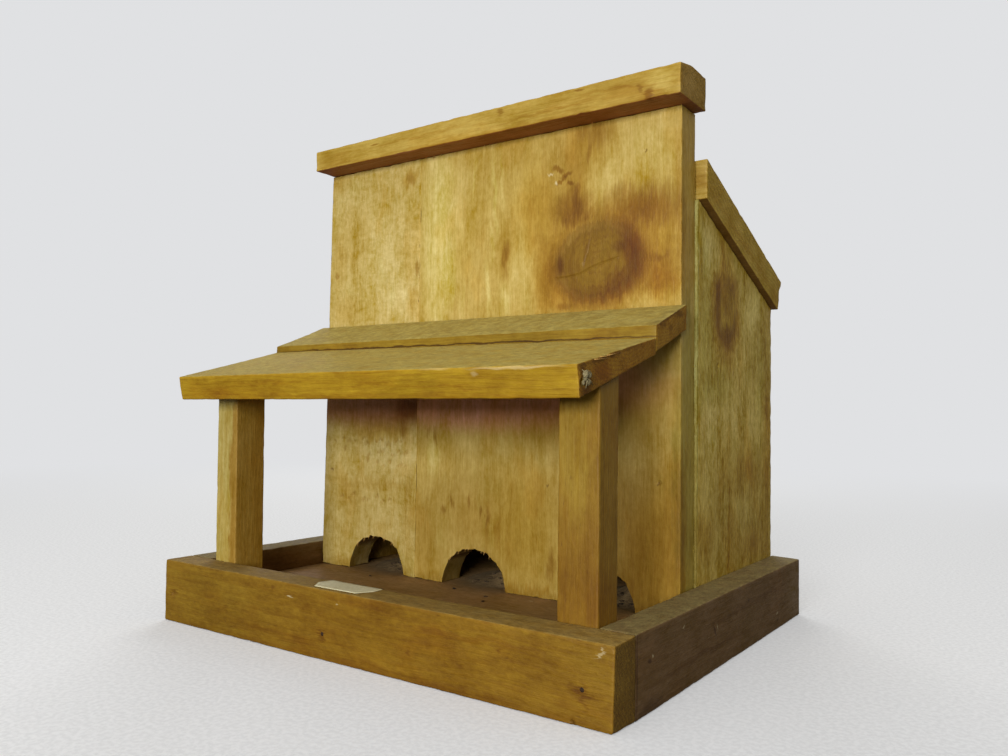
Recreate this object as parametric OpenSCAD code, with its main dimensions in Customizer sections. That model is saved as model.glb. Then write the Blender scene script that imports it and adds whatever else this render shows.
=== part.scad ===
// Hopper bird feeder in the form of a small shop with a false front and a porch.
// All boards are solid wood. Units are millimetres.
//
// The origin lies in the middle of the base, on the level that the feeder
// stands on. +X runs to the right along the front, +Y to the back, +Z up.
// A shallow tray carries everything: the house closes its back, and the porch
// stands over its front. Seed poured into the house runs out through the
// arches at the foot of the front wall.

/* [Tray] */
// Overall width of the tray
tray_w = 318; // [260:1:400]
// Overall depth of the tray
tray_d = 266; // [240:1:340]
// Height of the rails
rail_h = 38; // [30:1:60]
// Thickness of the rails
rail_t = 19; // [12:0.5:25]
// Thickness of the floor board, whose underside is level with the rails
floor_t = 22; // [9:0.5:26]

/* [House] */
// Depth of the house, from the front face to the back face
house_d = 152; // [120:1:170]
// Thickness of the front, side and back walls
wall_t = 19; // [12:0.5:25]
// Clearance between the front wall and the tray rail on each side
rail_clearance = 1.5; // [0.5:0.1:4]
// Height of the false front above the tray floor
front_h = 283; // [240:1:330]
// Width of the narrow board at the left of the front wall
narrow_board_w = 87.5; // [70:0.5:110]

/* [Seed arches] */
// Radius of each arch
arch_r = 25; // [12:0.5:30]
// How far the centre of each arch lies below the foot of the wall
arch_drop = 1.5; // [0:0.5:6]
// Place of the left arch across the front
arch_left_x = -86; // [-95:0.5:-76]
// Place of the middle arch across the front
arch_mid_x = -2; // [-12:0.5:8]
// Place of the right arch across the front
arch_right_x = 86.5; // [76:0.5:95]

/* [Main roof] */
// Fall of the roof towards the back, in degrees
roof_slope = 20.5; // [10:0.5:26]
// Thickness of the roof board
roof_t = 22; // [12:0.5:26]
// How far the roof lies below the top of the false front, measured to its underside
roof_drop = 48; // [40:0.5:80]
// Gap between the false front and the roof board
roof_gap = 2; // [0.5:0.5:6]
// Overhang of the roof past each side wall
roof_side_over = 4; // [0:0.5:20]
// Overhang of the roof's underside past the back wall
roof_back_over = 2; // [0:0.5:30]

/* [Cap strip] */
// Thickness of the strip on top of the false front
cap_t = 19.5; // [10:0.5:25]
// How far the strip stands out in front of the false front
cap_front_over = 17; // [5:0.5:30]
// Overhang of the strip past the right end of the front wall
cap_right_over = 5; // [0:0.5:15]
// Setback of the strip from the left end of the front wall
cap_left_setback = 2; // [0:0.5:6]
// Width of the eased slope along the strip's top front edge
cap_ease_w = 16; // [4:0.5:22]
// Fall of that slope
cap_ease_h = 3.5; // [1:0.5:8]

/* [Porch roof] */
// Height of the porch roof's top, where it meets the front wall, above the tray floor
porch_h = 172; // [150:1:190]
// Fall of the upper board towards the front, in degrees
porch_upper_slope = 20.5; // [12:0.5:26]
// Thickness of the upper board
porch_upper_t = 13.4; // [9:0.1:19]
// Reach of the upper board out from the wall
porch_upper_run = 42; // [30:1:55]
// How far the upper board's front edge stands above the lower board
porch_step = 5.2; // [2:0.1:7]
// Fall of the lower board's top towards the front, in degrees
porch_lower_slope = 13.6; // [8:0.2:20]
// Thickness of the lower board at its front edge
porch_nose_t = 15.5; // [10:0.5:20]
// How far the top of the front edge leans out past its foot
porch_nose_lean = 2.5; // [0:0.5:5]
// Overhang of the porch roof's foot past the front face of the tray
porch_front_over = 3; // [0:0.5:15]
// Overhang of the porch roof past each end of the front wall
porch_side_over = 4.5; // [0:0.5:12]

/* [Porch posts] */
// Width of the right post, across the front
right_post_w = 22; // [14:0.5:30]
// Depth of the right post, from front to back
right_post_d = 19; // [12:0.5:30]
// Width of the left post, which is turned a quarter round
left_post_w = 19.5; // [14:0.5:30]
// Depth of the left post, from front to back
left_post_d = 22; // [12:0.5:30]
// Gap between the left post and the tray's left rail
left_post_gap = 4.5; // [1:0.5:14]

/* [View] */
// Piece to show, or all of them

/* [Hidden] */

// Facets of a full arch circle
arch_fn = 72;
// How far a cutter runs past the face that it cuts
past = 1;

// Tray
tray_x = tray_w / 2;
tray_front_y = -tray_d / 2;
tray_back_y = tray_d / 2;
well_x = tray_x - rail_t;
well_front_y = tray_front_y + rail_t;

// House: its side walls fill the tray between the rails
side_x = well_x;
house_x = well_x - rail_clearance;
inner_x = side_x - wall_t;
front_face_y = tray_back_y - house_d;
front_back_y = front_face_y + wall_t;
back_inner_y = tray_back_y - wall_t;
front_top_z = floor_t + front_h;
arch_xs = [arch_left_x, arch_mid_x, arch_right_x];
arch_z = floor_t - arch_drop;

// Main roof: height of its underside at a given y
roof_under_z0 = front_top_z - roof_drop;
function roof_under(y) = roof_under_z0 - (y - front_back_y) * tan(roof_slope);
roof_x = side_x + roof_side_over;
roof_front_y = front_back_y + roof_gap;
roof_back_y = tray_back_y + roof_back_over;

// Porch roof: the upper board, then the lower board in front of it
joint_y = front_face_y - porch_upper_run;
porch_top_z = floor_t + porch_h;
upper_plumb_t = porch_upper_t / cos(porch_upper_slope);
joint_top_z = porch_top_z - porch_upper_run * tan(porch_upper_slope);
joint_under_z = joint_top_z - upper_plumb_t;
lower_top_z = joint_top_z - porch_step;
nose_foot_y = tray_front_y - porch_front_over;
nose_top_y = nose_foot_y - porch_nose_lean;
nose_top_z = lower_top_z - (joint_y - nose_top_y) * tan(porch_lower_slope);
nose_foot_z = nose_top_z - porch_nose_t;
lower_under_rise = (joint_under_z - nose_foot_z) / (joint_y - nose_foot_y);
// Height of the lower board's underside at a given y
function porch_under(y) = nose_foot_z + (y - nose_foot_y) * lower_under_rise;
porch_x = house_x + porch_side_over;

// Cap strip
cap_x0 = -house_x + cap_left_setback;
cap_x1 = house_x + cap_right_over;
cap_front_y = front_face_y - cap_front_over;
cap_top_z = front_top_z + cap_t;

// Varnished wood, from the pale walls to the browner tray
wall_colour = [0.87, 0.70, 0.36];
porch_colour = [0.85, 0.66, 0.29];
cap_colour = [0.82, 0.62, 0.28];
roof_colour = [0.66, 0.53, 0.24];
rail_colour = [0.76, 0.52, 0.22];
floor_colour = [0.56, 0.41, 0.23];

// A board whose cross-section is drawn in Y and Z, and which runs from x0 to x1
module board_along_x(section, x0, x1) {
    translate([x0, 0, 0])
        rotate([90, 0, 90])
            linear_extrude(height = x1 - x0)
                polygon(section);
}

// A square-edged board between two corners
module plain_board(low, high) {
    translate(low) cube(high - low);
}

// Takes the seed arches out of a board of the front wall
module with_arches() {
    difference() {
        children();
        for (x = arch_xs)
            translate([x, front_face_y - past, arch_z])
                rotate([-90, 0, 0])
                    cylinder(r = arch_r, h = wall_t + 2 * past, $fn = arch_fn);
    }
}

// A post between the tray floor and the porch roof, its top cut to the slope
module post(x0, x1, depth) {
    y0 = well_front_y;
    y1 = well_front_y + depth;
    board_along_x([[y0, floor_t], [y1, floor_t],
                   [y1, porch_under(y1)], [y0, porch_under(y0)]],
                  x0, x1);
}

// A side wall between two faces, its top cut to the main roof
module side_wall(x0, x1) {
    board_along_x([[front_back_y, floor_t], [tray_back_y, floor_t],
                   [tray_back_y, roof_under(tray_back_y)],
                   [front_back_y, roof_under(front_back_y)]],
                  x0, x1);
}

// Floor board of the tray, under the house and the porch
module tray_floor() {
    color(floor_colour)
        plain_board([-well_x, well_front_y, 0],
                    [well_x, tray_back_y, floor_t]);
}

// Rail along the front, nailed over the ends of the side rails
module front_rail() {
    color(rail_colour)
        plain_board([-tray_x, tray_front_y, 0], [tray_x, well_front_y, rail_h]);
}

// Rail along the left side, from the front rail to the back
module left_rail() {
    color(rail_colour)
        plain_board([-tray_x, well_front_y, 0], [-well_x, tray_back_y, rail_h]);
}

// Rail along the right side, from the front rail to the back
module right_rail() {
    color(rail_colour)
        plain_board([well_x, well_front_y, 0], [tray_x, tray_back_y, rail_h]);
}

// Porch post at the left, a little clear of the rail
module left_post() {
    x0 = -well_x + left_post_gap;
    color(wall_colour) post(x0, x0 + left_post_w, left_post_d);
}

// Porch post at the right, in the tray's front corner
module right_post() {
    color(wall_colour) post(well_x - right_post_w, well_x, right_post_d);
}

// Narrow board of the front wall, at the left
module front_wall_narrow_board() {
    color(wall_colour)
        with_arches()
            plain_board([-house_x, front_face_y, floor_t],
                        [-house_x + narrow_board_w, front_back_y, front_top_z]);
}

// Wide board of the front wall, glued to the narrow one edge to edge
module front_wall_wide_board() {
    color(wall_colour)
        with_arches()
            plain_board([-house_x + narrow_board_w, front_face_y, floor_t],
                        [house_x, front_back_y, front_top_z]);
}

// Left side wall, behind the front wall
module left_wall() {
    color(wall_colour) side_wall(-side_x, -inner_x);
}

// Right side wall, behind the front wall
module right_wall() {
    color(wall_colour) side_wall(inner_x, side_x);
}

// Back wall, between the side walls
module back_wall() {
    color(wall_colour)
        board_along_x([[back_inner_y, floor_t], [tray_back_y, floor_t],
                       [tray_back_y, roof_under(tray_back_y)],
                       [back_inner_y, roof_under(back_inner_y)]],
                      -inner_x, inner_x);
}

// Lower board of the porch roof, thick at its front edge and thin at the joint
module porch_lower_board() {
    color(porch_colour)
        board_along_x([[nose_foot_y, nose_foot_z], [joint_y, joint_under_z],
                       [joint_y, lower_top_z], [nose_top_y, nose_top_z]],
                      -porch_x, porch_x);
}

// Upper board of the porch roof, from the joint to the front wall
module porch_upper_board() {
    color(porch_colour)
        board_along_x([[joint_y, joint_under_z],
                       [front_face_y, porch_top_z - upper_plumb_t],
                       [front_face_y, porch_top_z], [joint_y, joint_top_z]],
                      -porch_x, porch_x);
}

// Strip that caps the false front, with an eased top front edge
module cap_strip() {
    color(cap_colour)
        board_along_x([[cap_front_y, front_top_z], [front_back_y, front_top_z],
                       [front_back_y, cap_top_z],
                       [cap_front_y + cap_ease_w, cap_top_z],
                       [cap_front_y, cap_top_z - cap_ease_h]],
                      cap_x0, cap_x1);
}

// Main roof: one board, cut plumb behind the false front and square at the back
module roof_board() {
    lean_y = roof_t * sin(roof_slope);
    lean_z = roof_t * cos(roof_slope);
    color(roof_colour)
        board_along_x([[roof_front_y, roof_under(roof_front_y)],
                       [roof_back_y, roof_under(roof_back_y)],
                       [roof_back_y + lean_y, roof_under(roof_back_y) + lean_z],
                       [roof_front_y,
                        roof_under(roof_front_y) + roof_t / cos(roof_slope)]],
                      -roof_x, roof_x);
}

tray_floor();
front_rail();
left_rail();
right_rail();
left_post();
right_post();
front_wall_narrow_board();
front_wall_wide_board();
left_wall();
right_wall();
back_wall();
porch_lower_board();
porch_upper_board();
cap_strip();
roof_board();
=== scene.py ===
"""Dresses the hopper bird feeder: worn boards, each with grain of its own, and the small things on them.

Sizes are millimetres in the model's frame: X to the right along the front, Y to the back, Z up.
Meshes are written in metres.
"""

import itertools
import logging
import math
from collections.abc import Callable
from dataclasses import dataclass, field, replace
from enum import Enum

import bpy
import numpy as np
from mathutils import Matrix, Vector
from mathutils.geometry import delaunay_2d_cdt

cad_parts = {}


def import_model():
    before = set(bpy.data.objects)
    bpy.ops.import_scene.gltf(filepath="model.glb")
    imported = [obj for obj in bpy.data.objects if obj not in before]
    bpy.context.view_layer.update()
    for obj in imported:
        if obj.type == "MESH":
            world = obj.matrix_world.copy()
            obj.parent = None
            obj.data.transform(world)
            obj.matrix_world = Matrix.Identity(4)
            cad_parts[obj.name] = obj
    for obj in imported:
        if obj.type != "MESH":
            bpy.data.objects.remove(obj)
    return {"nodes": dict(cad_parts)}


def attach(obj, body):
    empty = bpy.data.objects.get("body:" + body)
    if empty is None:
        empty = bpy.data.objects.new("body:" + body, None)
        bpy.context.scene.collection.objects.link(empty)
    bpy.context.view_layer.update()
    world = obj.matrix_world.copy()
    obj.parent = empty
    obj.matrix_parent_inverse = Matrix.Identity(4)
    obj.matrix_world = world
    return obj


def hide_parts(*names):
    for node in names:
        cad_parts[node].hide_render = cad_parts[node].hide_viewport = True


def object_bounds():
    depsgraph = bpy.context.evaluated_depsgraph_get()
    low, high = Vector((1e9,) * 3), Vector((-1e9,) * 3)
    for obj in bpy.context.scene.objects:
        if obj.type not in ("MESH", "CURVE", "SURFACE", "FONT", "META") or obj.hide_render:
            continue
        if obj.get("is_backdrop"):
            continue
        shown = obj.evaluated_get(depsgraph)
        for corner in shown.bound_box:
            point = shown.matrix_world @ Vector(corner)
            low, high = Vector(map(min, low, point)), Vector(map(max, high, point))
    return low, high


LOG = logging.getLogger("feeder")
MM = 0.001
BODY = "root"

# A corner of an outline that turns by more than this is a sharp one.
SHARP = math.radians(25)
# How far inside a cut face's edge each inner row of points lies, and how many steps apart its points are.
RIMS = ((0.7, 1), (1.8, 1), (3.4, 2))

Socket = bpy.types.NodeSocket
Colour = tuple[float, float, float]
Point = tuple[float, float, float]
Spot = tuple[float, float]
Corners = tuple[int, ...]


def tone(red: int, green: int, blue: int) -> Colour:
    """Turns a display colour, from 0 to 255 a part, into the linear one that shaders use."""
    shares = (red / 255, green / 255, blue / 255)
    return tuple(s / 12.92 if s <= 0.04045 else ((s + 0.055) / 1.055) ** 2.4 for s in shares)


def shaded(colour: Colour, share: float) -> Colour:
    """A colour made darker or lighter."""
    return tuple(c * share for c in colour)


# ---- noise for shapes


def scatter(cells: np.ndarray, seed: int) -> np.ndarray:
    """Gives each lattice cell a fixed number between 0 and 1.

    Args:
        cells: Whole-number cells, one row each.
        seed: Which scatter to use.

    Returns:
        One number per row.
    """
    mixed = cells[:, 0] * 73856093 ^ cells[:, 1] * 19349663 ^ cells[:, 2] * 83492791 ^ seed * 40503
    mixed = (mixed ^ (mixed >> 13)) * 1274126177 & 0xFFFFFFFF
    return ((mixed ^ (mixed >> 15)) & 0xFFFF) / 65535.0


def lumps(points: np.ndarray, size: float | Point, seed: int) -> np.ndarray:
    """Smooth noise between 0 and 1.

    Args:
        points: Places in millimetres, one row each.
        size: How large its lumps are, the same all round or along each axis.
        seed: Which noise to use.

    Returns:
        One number per row.
    """
    scaled = points / np.asarray(size, float) + 0.37 * seed
    base = np.floor(scaled).astype(np.int64)
    part = scaled - base
    part = part * part * (3 - 2 * part)
    total = np.zeros(len(points))
    for corner in itertools.product((0, 1), repeat=3):
        share = np.prod(np.where(np.array(corner) > 0, part, 1 - part), axis=1)
        total += share * scatter(base + np.array(corner), seed)
    return total


# ---- outlines and faces


def circle(count: int) -> np.ndarray:
    """Points at even angles round a circle of radius 1, one row each."""
    angles = np.linspace(0, 2 * math.pi, count, endpoint=False)
    return np.column_stack([np.cos(angles), np.sin(angles)])


def clear_of(points: np.ndarray, others: np.ndarray) -> np.ndarray:
    """How far each point lies from the nearest of the others."""
    return np.array([np.min(np.hypot(others[:, 0] - x, others[:, 1] - y)) for x, y in points])


def inside(points: np.ndarray, ring: np.ndarray) -> np.ndarray:
    """Whether each point lies inside a ring.

    Args:
        points: The points.
        ring: A closed outline.

    Returns:
        True for each point that does.
    """
    within = np.zeros(len(points), bool)
    for (x0, y0), (x1, y1) in zip(ring, np.roll(ring, -1, 0)):
        if y0 == y1:
            continue
        span = (y0 > points[:, 1]) != (y1 > points[:, 1])
        cross = (x1 - x0) * (points[:, 1] - y0) / (y1 - y0) + x0
        within ^= span & (points[:, 0] < cross)
    return within


def bands(rows: int, count: int) -> list[Corners]:
    """Joins a row of rings with four-sided faces.

    Args:
        rows: How many rings there are.
        count: How many points each has.

    Returns:
        The faces, by the numbers of the points.
    """
    faces = []
    for start in range(0, (rows - 1) * count, count):
        for i in range(count):
            j = (i + 1) % count
            faces.append((start + i, start + j, start + count + j, start + count + i))
    return faces


def meshed(spots: np.ndarray, rim: int) -> list[Corners]:
    """Joins flat points with triangles inside the outline that the first of them make.

    Args:
        spots: The points.
        rim: How many of them make the outline.

    Returns:
        The triangles, by the numbers of the points.
    """
    keep_inside, snap = 1, 1e-5
    flat = [Vector((float(x), float(y))) for x, y in spots]
    _, _, faces, origin, _, _ = delaunay_2d_cdt(flat, [], [list(range(rim))], keep_inside, snap)
    return [tuple(origin[i][0] for i in face) for face in faces]


# ---- boards


class Face(Enum):
    """The plane that a board's outline is cut in: its two axes, then the axis of its thickness."""

    FRONT = (0, 2, 1)
    SIDE = (1, 2, 0)
    TOP = (0, 1, 2)


@dataclass(frozen=True)
class Crack:
    """An open crack in one of the board's two cut faces.

    Attributes:
        line: Points along it, in the plane of the outline.
        width: How wide it gapes.
        depth: How deep it goes.
    """

    line: tuple[Spot, ...]
    width: float = 0.8
    depth: float = 0.6


@dataclass(frozen=True)
class Pit:
    """A nail hole or a small hollow in one of the board's two cut faces.

    Attributes:
        at: Its middle, in the plane of the outline.
        radius: Its radius.
        depth: How deep it goes.
    """

    at: Spot
    radius: float = 1.2
    depth: float = 0.8


Cuts = tuple[Crack | Pit, ...]


@dataclass(frozen=True)
class Chip:
    """A place where wood is torn off.

    Attributes:
        at: Its middle in the model.
        radius: How far it reaches.
        depth: How deep it goes.
    """

    at: Point
    radius: float
    depth: float


@dataclass(frozen=True)
class Pull:
    """A corner or edge of a board that isn't quite where a true board would have it.

    Attributes:
        end: Which end of each axis it is at: -1 the low one, 1 the high one, 0 all along.
        by: How far it is off.
    """

    end: tuple[int, int, int]
    by: Point

    def share(self, place: np.ndarray) -> np.ndarray:
        """How much of the pull each vertex gets.

        Args:
            place: The vertices, from 0 to 1 along each side of the board's box.

        Returns:
            One share per vertex.
        """
        share = np.ones(len(place))
        for axis, end in enumerate(self.end):
            if end:
                share *= place[:, axis] if end > 0 else 1 - place[:, axis]
        return share


@dataclass
class Blank:
    """One board as cut, then eased and worn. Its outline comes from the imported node.

    Attributes:
        node: The node that it stands for.
        face: The plane that its outline lies in.
        arris: Radius of its eased edges.
        step: Spacing of the mesh on its flats.
        wear: How deep its edges are worn.
        wave: How far its faces are out of true.
        seed: Which noise it gets.
        near: Cracks and pits in the face on the low side.
        far: Cracks and pits in the face on the high side.
        chips: Where wood is torn off.
        pulls: How its corners are off.
        ragged: How deep the saw tore the edge of its arches.
        corner_segments: How many faces go round each eased edge.
        grades: How far from the ends of a side its first points lie.
    """

    node: str
    face: Face
    arris: float = 0.9
    step: float = 4.0
    wear: float = 0.35
    wave: float = 0.15
    seed: int = 1
    near: Cuts = ()
    far: Cuts = ()
    chips: tuple[Chip, ...] = ()
    pulls: tuple[Pull, ...] = ()
    ragged: float = 0.0
    corner_segments: int = 4
    grades: tuple[float, ...] = (0.6, 1.4, 2.6)

    def outline(self, source: bpy.types.Object) -> tuple[np.ndarray, float, float]:
        """Reads the board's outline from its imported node.

        Args:
            source: The node's object.

        Returns:
            The outline, anticlockwise, and where the thickness starts and ends.
        """
        a, b, w = self.face.value
        points = np.array([v.co[:] for v in source.data.vertices]) / MM
        low, high = points[:, w].min(), points[:, w].max()
        loose: dict[tuple[int, int], int] = {}
        keys = [tuple(np.round(p[[a, b]], 3)) for p in points]
        for polygon in source.data.polygons:
            if max(abs(points[i, w] - low) for i in polygon.vertices) > 0.01:
                continue
            ring = [keys[i] for i in polygon.vertices]
            for start, end in zip(ring, ring[1:] + ring[:1]):
                if (end, start) in loose:
                    del loose[(end, start)]
                else:
                    loose[(start, end)] = 1
        follow = {start: end for start, end in loose}
        here = next(iter(follow))
        loop = [here]
        while follow[loop[-1]] != here:
            loop.append(follow[loop[-1]])
        ring = np.array(loop, float)
        ahead, behind = np.roll(ring, -1, 0) - ring, ring - np.roll(ring, 1, 0)
        bend = behind[:, 0] * ahead[:, 1] - behind[:, 1] * ahead[:, 0]
        ring = ring[np.abs(bend) > 1e-3]
        area = np.sum(ring[:, 0] * np.roll(ring[:, 1], -1) - ring[:, 1] * np.roll(ring[:, 0], -1))
        return (ring if area > 0 else ring[::-1]), low, high

    def graded(self, length: float, step: float) -> list[float]:
        """Lays marks along a length, close together near both ends.

        Args:
            length: The length.
            step: The spacing in the middle.

        Returns:
            The marks between the ends.
        """
        ends = [g for g in self.grades if g < length / 2 - 0.2]
        start = ends[-1] if ends else 0.0
        count = max(1, round((length - 2 * start) / step))
        middle = [start + (length - 2 * start) * k / count for k in range(1, count)]
        return ends + middle + [length - g for g in reversed(ends)]

    def rounded(self, ring: np.ndarray) -> tuple[np.ndarray, np.ndarray]:
        """Rounds the outline's sharp corners and lays points along its sides.

        Args:
            ring: The outline, anticlockwise.

        Returns:
            The points and their inward directions.
        """
        count = len(ring)
        stops: list[tuple[np.ndarray, np.ndarray, list[np.ndarray], bool]] = []
        for i in range(count):
            into = ring[i] - ring[i - 1]
            out = ring[(i + 1) % count] - ring[i]
            into, out = into / np.linalg.norm(into), out / np.linalg.norm(out)
            turn = math.atan2(into[0] * out[1] - into[1] * out[0], into @ out)
            if abs(turn) < SHARP:
                stops.append((ring[i], ring[i], [ring[i]], False))
                continue
            radius = self.arris * 1.25
            back = radius * math.tan(abs(turn) / 2)
            first = ring[i] - into * back
            side = np.array([-into[1], into[0]]) * math.copysign(radius, turn)
            middle = first + side
            arc = []
            for k in range(self.corner_segments + 1):
                angle = turn * k / self.corner_segments
                c, s = math.cos(angle), math.sin(angle)
                arm = first - middle
                arc.append(middle + np.array([arm[0] * c - arm[1] * s, arm[0] * s + arm[1] * c]))
            stops.append((arc[0], arc[-1], arc, True))
        points: list[np.ndarray] = []
        curved: list[bool] = []
        for i, (_, last, arc, sharp) in enumerate(stops):
            points.extend(arc)
            curved.extend([not sharp] * len(arc))
            following = stops[(i + 1) % count]
            run = following[0] - last
            length = float(np.linalg.norm(run))
            bowed = not (sharp and following[3]) and length < 2 * self.step
            if bowed:
                pieces = max(1, round(length / 0.9))
                places = [length * k / pieces for k in range(1, pieces)]
            else:
                places = self.graded(length, self.step)
            points.extend(last + run * (p / length) for p in places)
            curved.extend([bowed] * len(places))
        ring = np.array(points)
        inward = self.inward_of(ring)
        if self.ragged:
            places = np.column_stack([ring, np.zeros(len(ring))])
            torn = np.clip(lumps(places, 2.3, self.seed + 5) - 0.35, 0, 1)
            torn += 0.4 * lumps(places, 6.0, self.seed + 6)
            crown = np.clip((ring[:, 1] - 30.0) / 8.0, 0.15, 1.0)
            ring = ring + inward * (self.ragged * torn * crown * np.array(curved))[:, None]
            inward = self.inward_of(ring)
        return ring, inward

    @staticmethod
    def inward_of(ring: np.ndarray) -> np.ndarray:
        """The direction into the board at each point of its edge."""
        tangent = np.roll(ring, -1, 0) - np.roll(ring, 1, 0)
        tangent /= np.linalg.norm(tangent, axis=1)[:, None]
        return np.column_stack([-tangent[:, 1], tangent[:, 0]])

    def fill(self, ring: np.ndarray, marks: Cuts) -> tuple[np.ndarray, list[Corners]]:
        """Meshes the inside of a cut face, closely where it has cracks or pits.

        Args:
            ring: The edge of the face.
            marks: Its cracks and pits.

        Returns:
            The added points and the triangles, which count the ring's points first.
        """
        inward = self.inward_of(ring)
        parts = []
        for rim, every in RIMS:
            part = (ring + inward * rim)[::every]
            parts.append(part[clear_of(part, ring) > rim * 0.93])
        low, high = ring.min(0), ring.max(0)
        half = self.step / 2
        xs = np.arange(low[0] + half, high[0], self.step)
        ys = np.arange(low[1] + half, high[1], self.step)
        grid = np.array([(x + half * (j % 2), y) for j, y in enumerate(ys) for x in xs]).reshape(-1, 2)
        grid = grid[clear_of(grid, ring) > RIMS[-1][0] + self.step * 0.4]
        close = [self.around(mark) for mark in marks]
        for part in close:
            grid = grid[clear_of(grid, part) > 1.6]
        extra = np.vstack([*parts, grid, *close])
        extra = extra[inside(extra, ring)]
        return extra, meshed(np.vstack([ring, extra]), len(ring))

    @staticmethod
    def around(mark: Crack | Pit) -> np.ndarray:
        """Lays mesh points round a crack or a pit, so that it is cut into the mesh.

        Args:
            mark: The crack or pit.

        Returns:
            The points.
        """
        if isinstance(mark, Pit):
            found = [(0.0, 0.0)]
            for share, count in ((0.45, 8), (0.85, 12), (1.15, 12), (1.7, 12)):
                radius = mark.radius * share
                angles = [2 * math.pi * k / count + share for k in range(count)]
                found.extend((math.cos(a) * radius, math.sin(a) * radius) for a in angles)
            return np.array(mark.at) + np.array(found)
        found = []
        line = np.array(mark.line, float)
        for start, end in zip(line, line[1:]):
            run = end - start
            length = float(np.linalg.norm(run))
            side = np.array([-run[1], run[0]]) / length
            count = max(2, round(length / 1.1))
            for k in range(count):
                place = start + run * k / count
                found.extend(place + side * mark.width * offset for offset in (-2.2, -0.75, 0.0, 0.75, 2.2))
        return np.array(found)

    def depth_at(self, spots: np.ndarray, marks: Cuts) -> np.ndarray:
        """How deep the cracks and pits of a face are at each point of it.

        Args:
            spots: The points, in the plane of the outline.
            marks: The cracks and pits.

        Returns:
            One depth per point.
        """
        depth = np.zeros(len(spots))
        for mark in marks:
            if isinstance(mark, Pit):
                gap = np.hypot(spots[:, 0] - mark.at[0], spots[:, 1] - mark.at[1]) / mark.radius
                depth = np.maximum(depth, mark.depth * np.clip(1.75 - 1.35 * gap, 0, 1))
                continue
            line = np.array(mark.line, float)
            for start, end in zip(line, line[1:]):
                run = end - start
                share = np.clip(((spots - start) @ run) / (run @ run), 0, 1)
                foot = start + share[:, None] * run
                gap = np.hypot(*(spots - foot).T) / mark.width
                depth = np.maximum(depth, mark.depth * np.clip(1.2 - 1.7 * gap, 0, 1))
        return depth

    def build(self, source: bpy.types.Object) -> bpy.types.Mesh:
        """Makes the board's mesh.

        Args:
            source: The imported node's object.

        Returns:
            The mesh, in metres, with how near each vertex is to an edge as "arris".
        """
        corners, low, high = self.outline(source)
        ring, inward = self.rounded(corners)
        count = len(ring)
        levels = []
        for k in range(self.corner_segments):
            angle = math.pi / 2 * k / self.corner_segments
            levels.append((self.arris * (1 - math.cos(angle)), self.arris * (1 - math.sin(angle))))
        depth = high - low
        flat = self.graded(depth - 2 * self.arris, self.step)
        rows = [(low + w, inset) for w, inset in levels]
        rows += [(low + self.arris + w, 0.0) for w in [0.0, *flat, depth - 2 * self.arris]]
        rows += [(high - w, inset) for w, inset in reversed(levels)]
        rings = [np.column_stack([ring + inward * inset, np.full(count, w)]) for w, inset in rows]
        spots = np.vstack(rings)
        faces = bands(len(rows), count)
        total = len(spots)
        pieces = [spots]
        last = (len(rows) - 1) * count
        for start, w, marks, flip in ((0, low, self.near, True), (last, high, self.far, False)):
            edge = spots[start : start + count, :2]
            extra, triangles = self.fill(edge, marks)
            pieces.append(np.column_stack([extra, np.full(len(extra), w)]))
            for triangle in triangles:
                named = [start + i if i < count else total + i - count for i in triangle]
                faces.append(tuple(reversed(named)) if flip else tuple(named))
            total += len(extra)
        spots = np.vstack(pieces)
        a, b, w = self.face.value
        points = np.empty_like(spots)
        points[:, a], points[:, b], points[:, w] = spots[:, 0], spots[:, 1], spots[:, 2]
        mesh = bpy.data.meshes.new(f"board_{self.node}")
        if self.face is Face.FRONT:
            faces = [tuple(reversed(f)) for f in faces]
        mesh.from_pydata(points.tolist(), [], faces)
        mesh.update()
        normals = np.empty(len(points) * 3, np.float32)
        mesh.vertex_normals.foreach_get("vector", normals)
        normals = normals.reshape(-1, 3).astype(float)
        end_gap = np.minimum(spots[:, 2] - low, high - spots[:, 2])
        side_gap = clear_of(spots[:, :2], ring)
        corner_gap = clear_of(spots[:, :2], self.sharp_corners(corners))
        gap = np.minimum(np.hypot(end_gap, side_gap), corner_gap)
        arris = np.exp(-gap / (1.2 + self.arris))
        points -= normals * self.worn(points, arris, spots, low, high)[:, None]
        least, most = points.min(0), points.max(0)
        place = (points - least) / (most - least)
        for pull in self.pulls:
            points += pull.share(place)[:, None] * np.array(pull.by)
        mesh.vertices.foreach_set("co", (points * MM).ravel())
        layer = mesh.attributes.new("arris", "FLOAT", "POINT")
        layer.data.foreach_set("value", arris.astype(np.float32))
        for polygon in mesh.polygons:
            polygon.use_smooth = True
        mesh.update()
        return mesh

    @staticmethod
    def sharp_corners(corners: np.ndarray) -> np.ndarray:
        """The outline's sharp corners."""
        into = corners - np.roll(corners, 1, 0)
        out = np.roll(corners, -1, 0) - corners
        turn = np.arctan2(into[:, 0] * out[:, 1] - into[:, 1] * out[:, 0], np.sum(into * out, 1))
        return corners[np.abs(turn) > SHARP]

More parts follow.
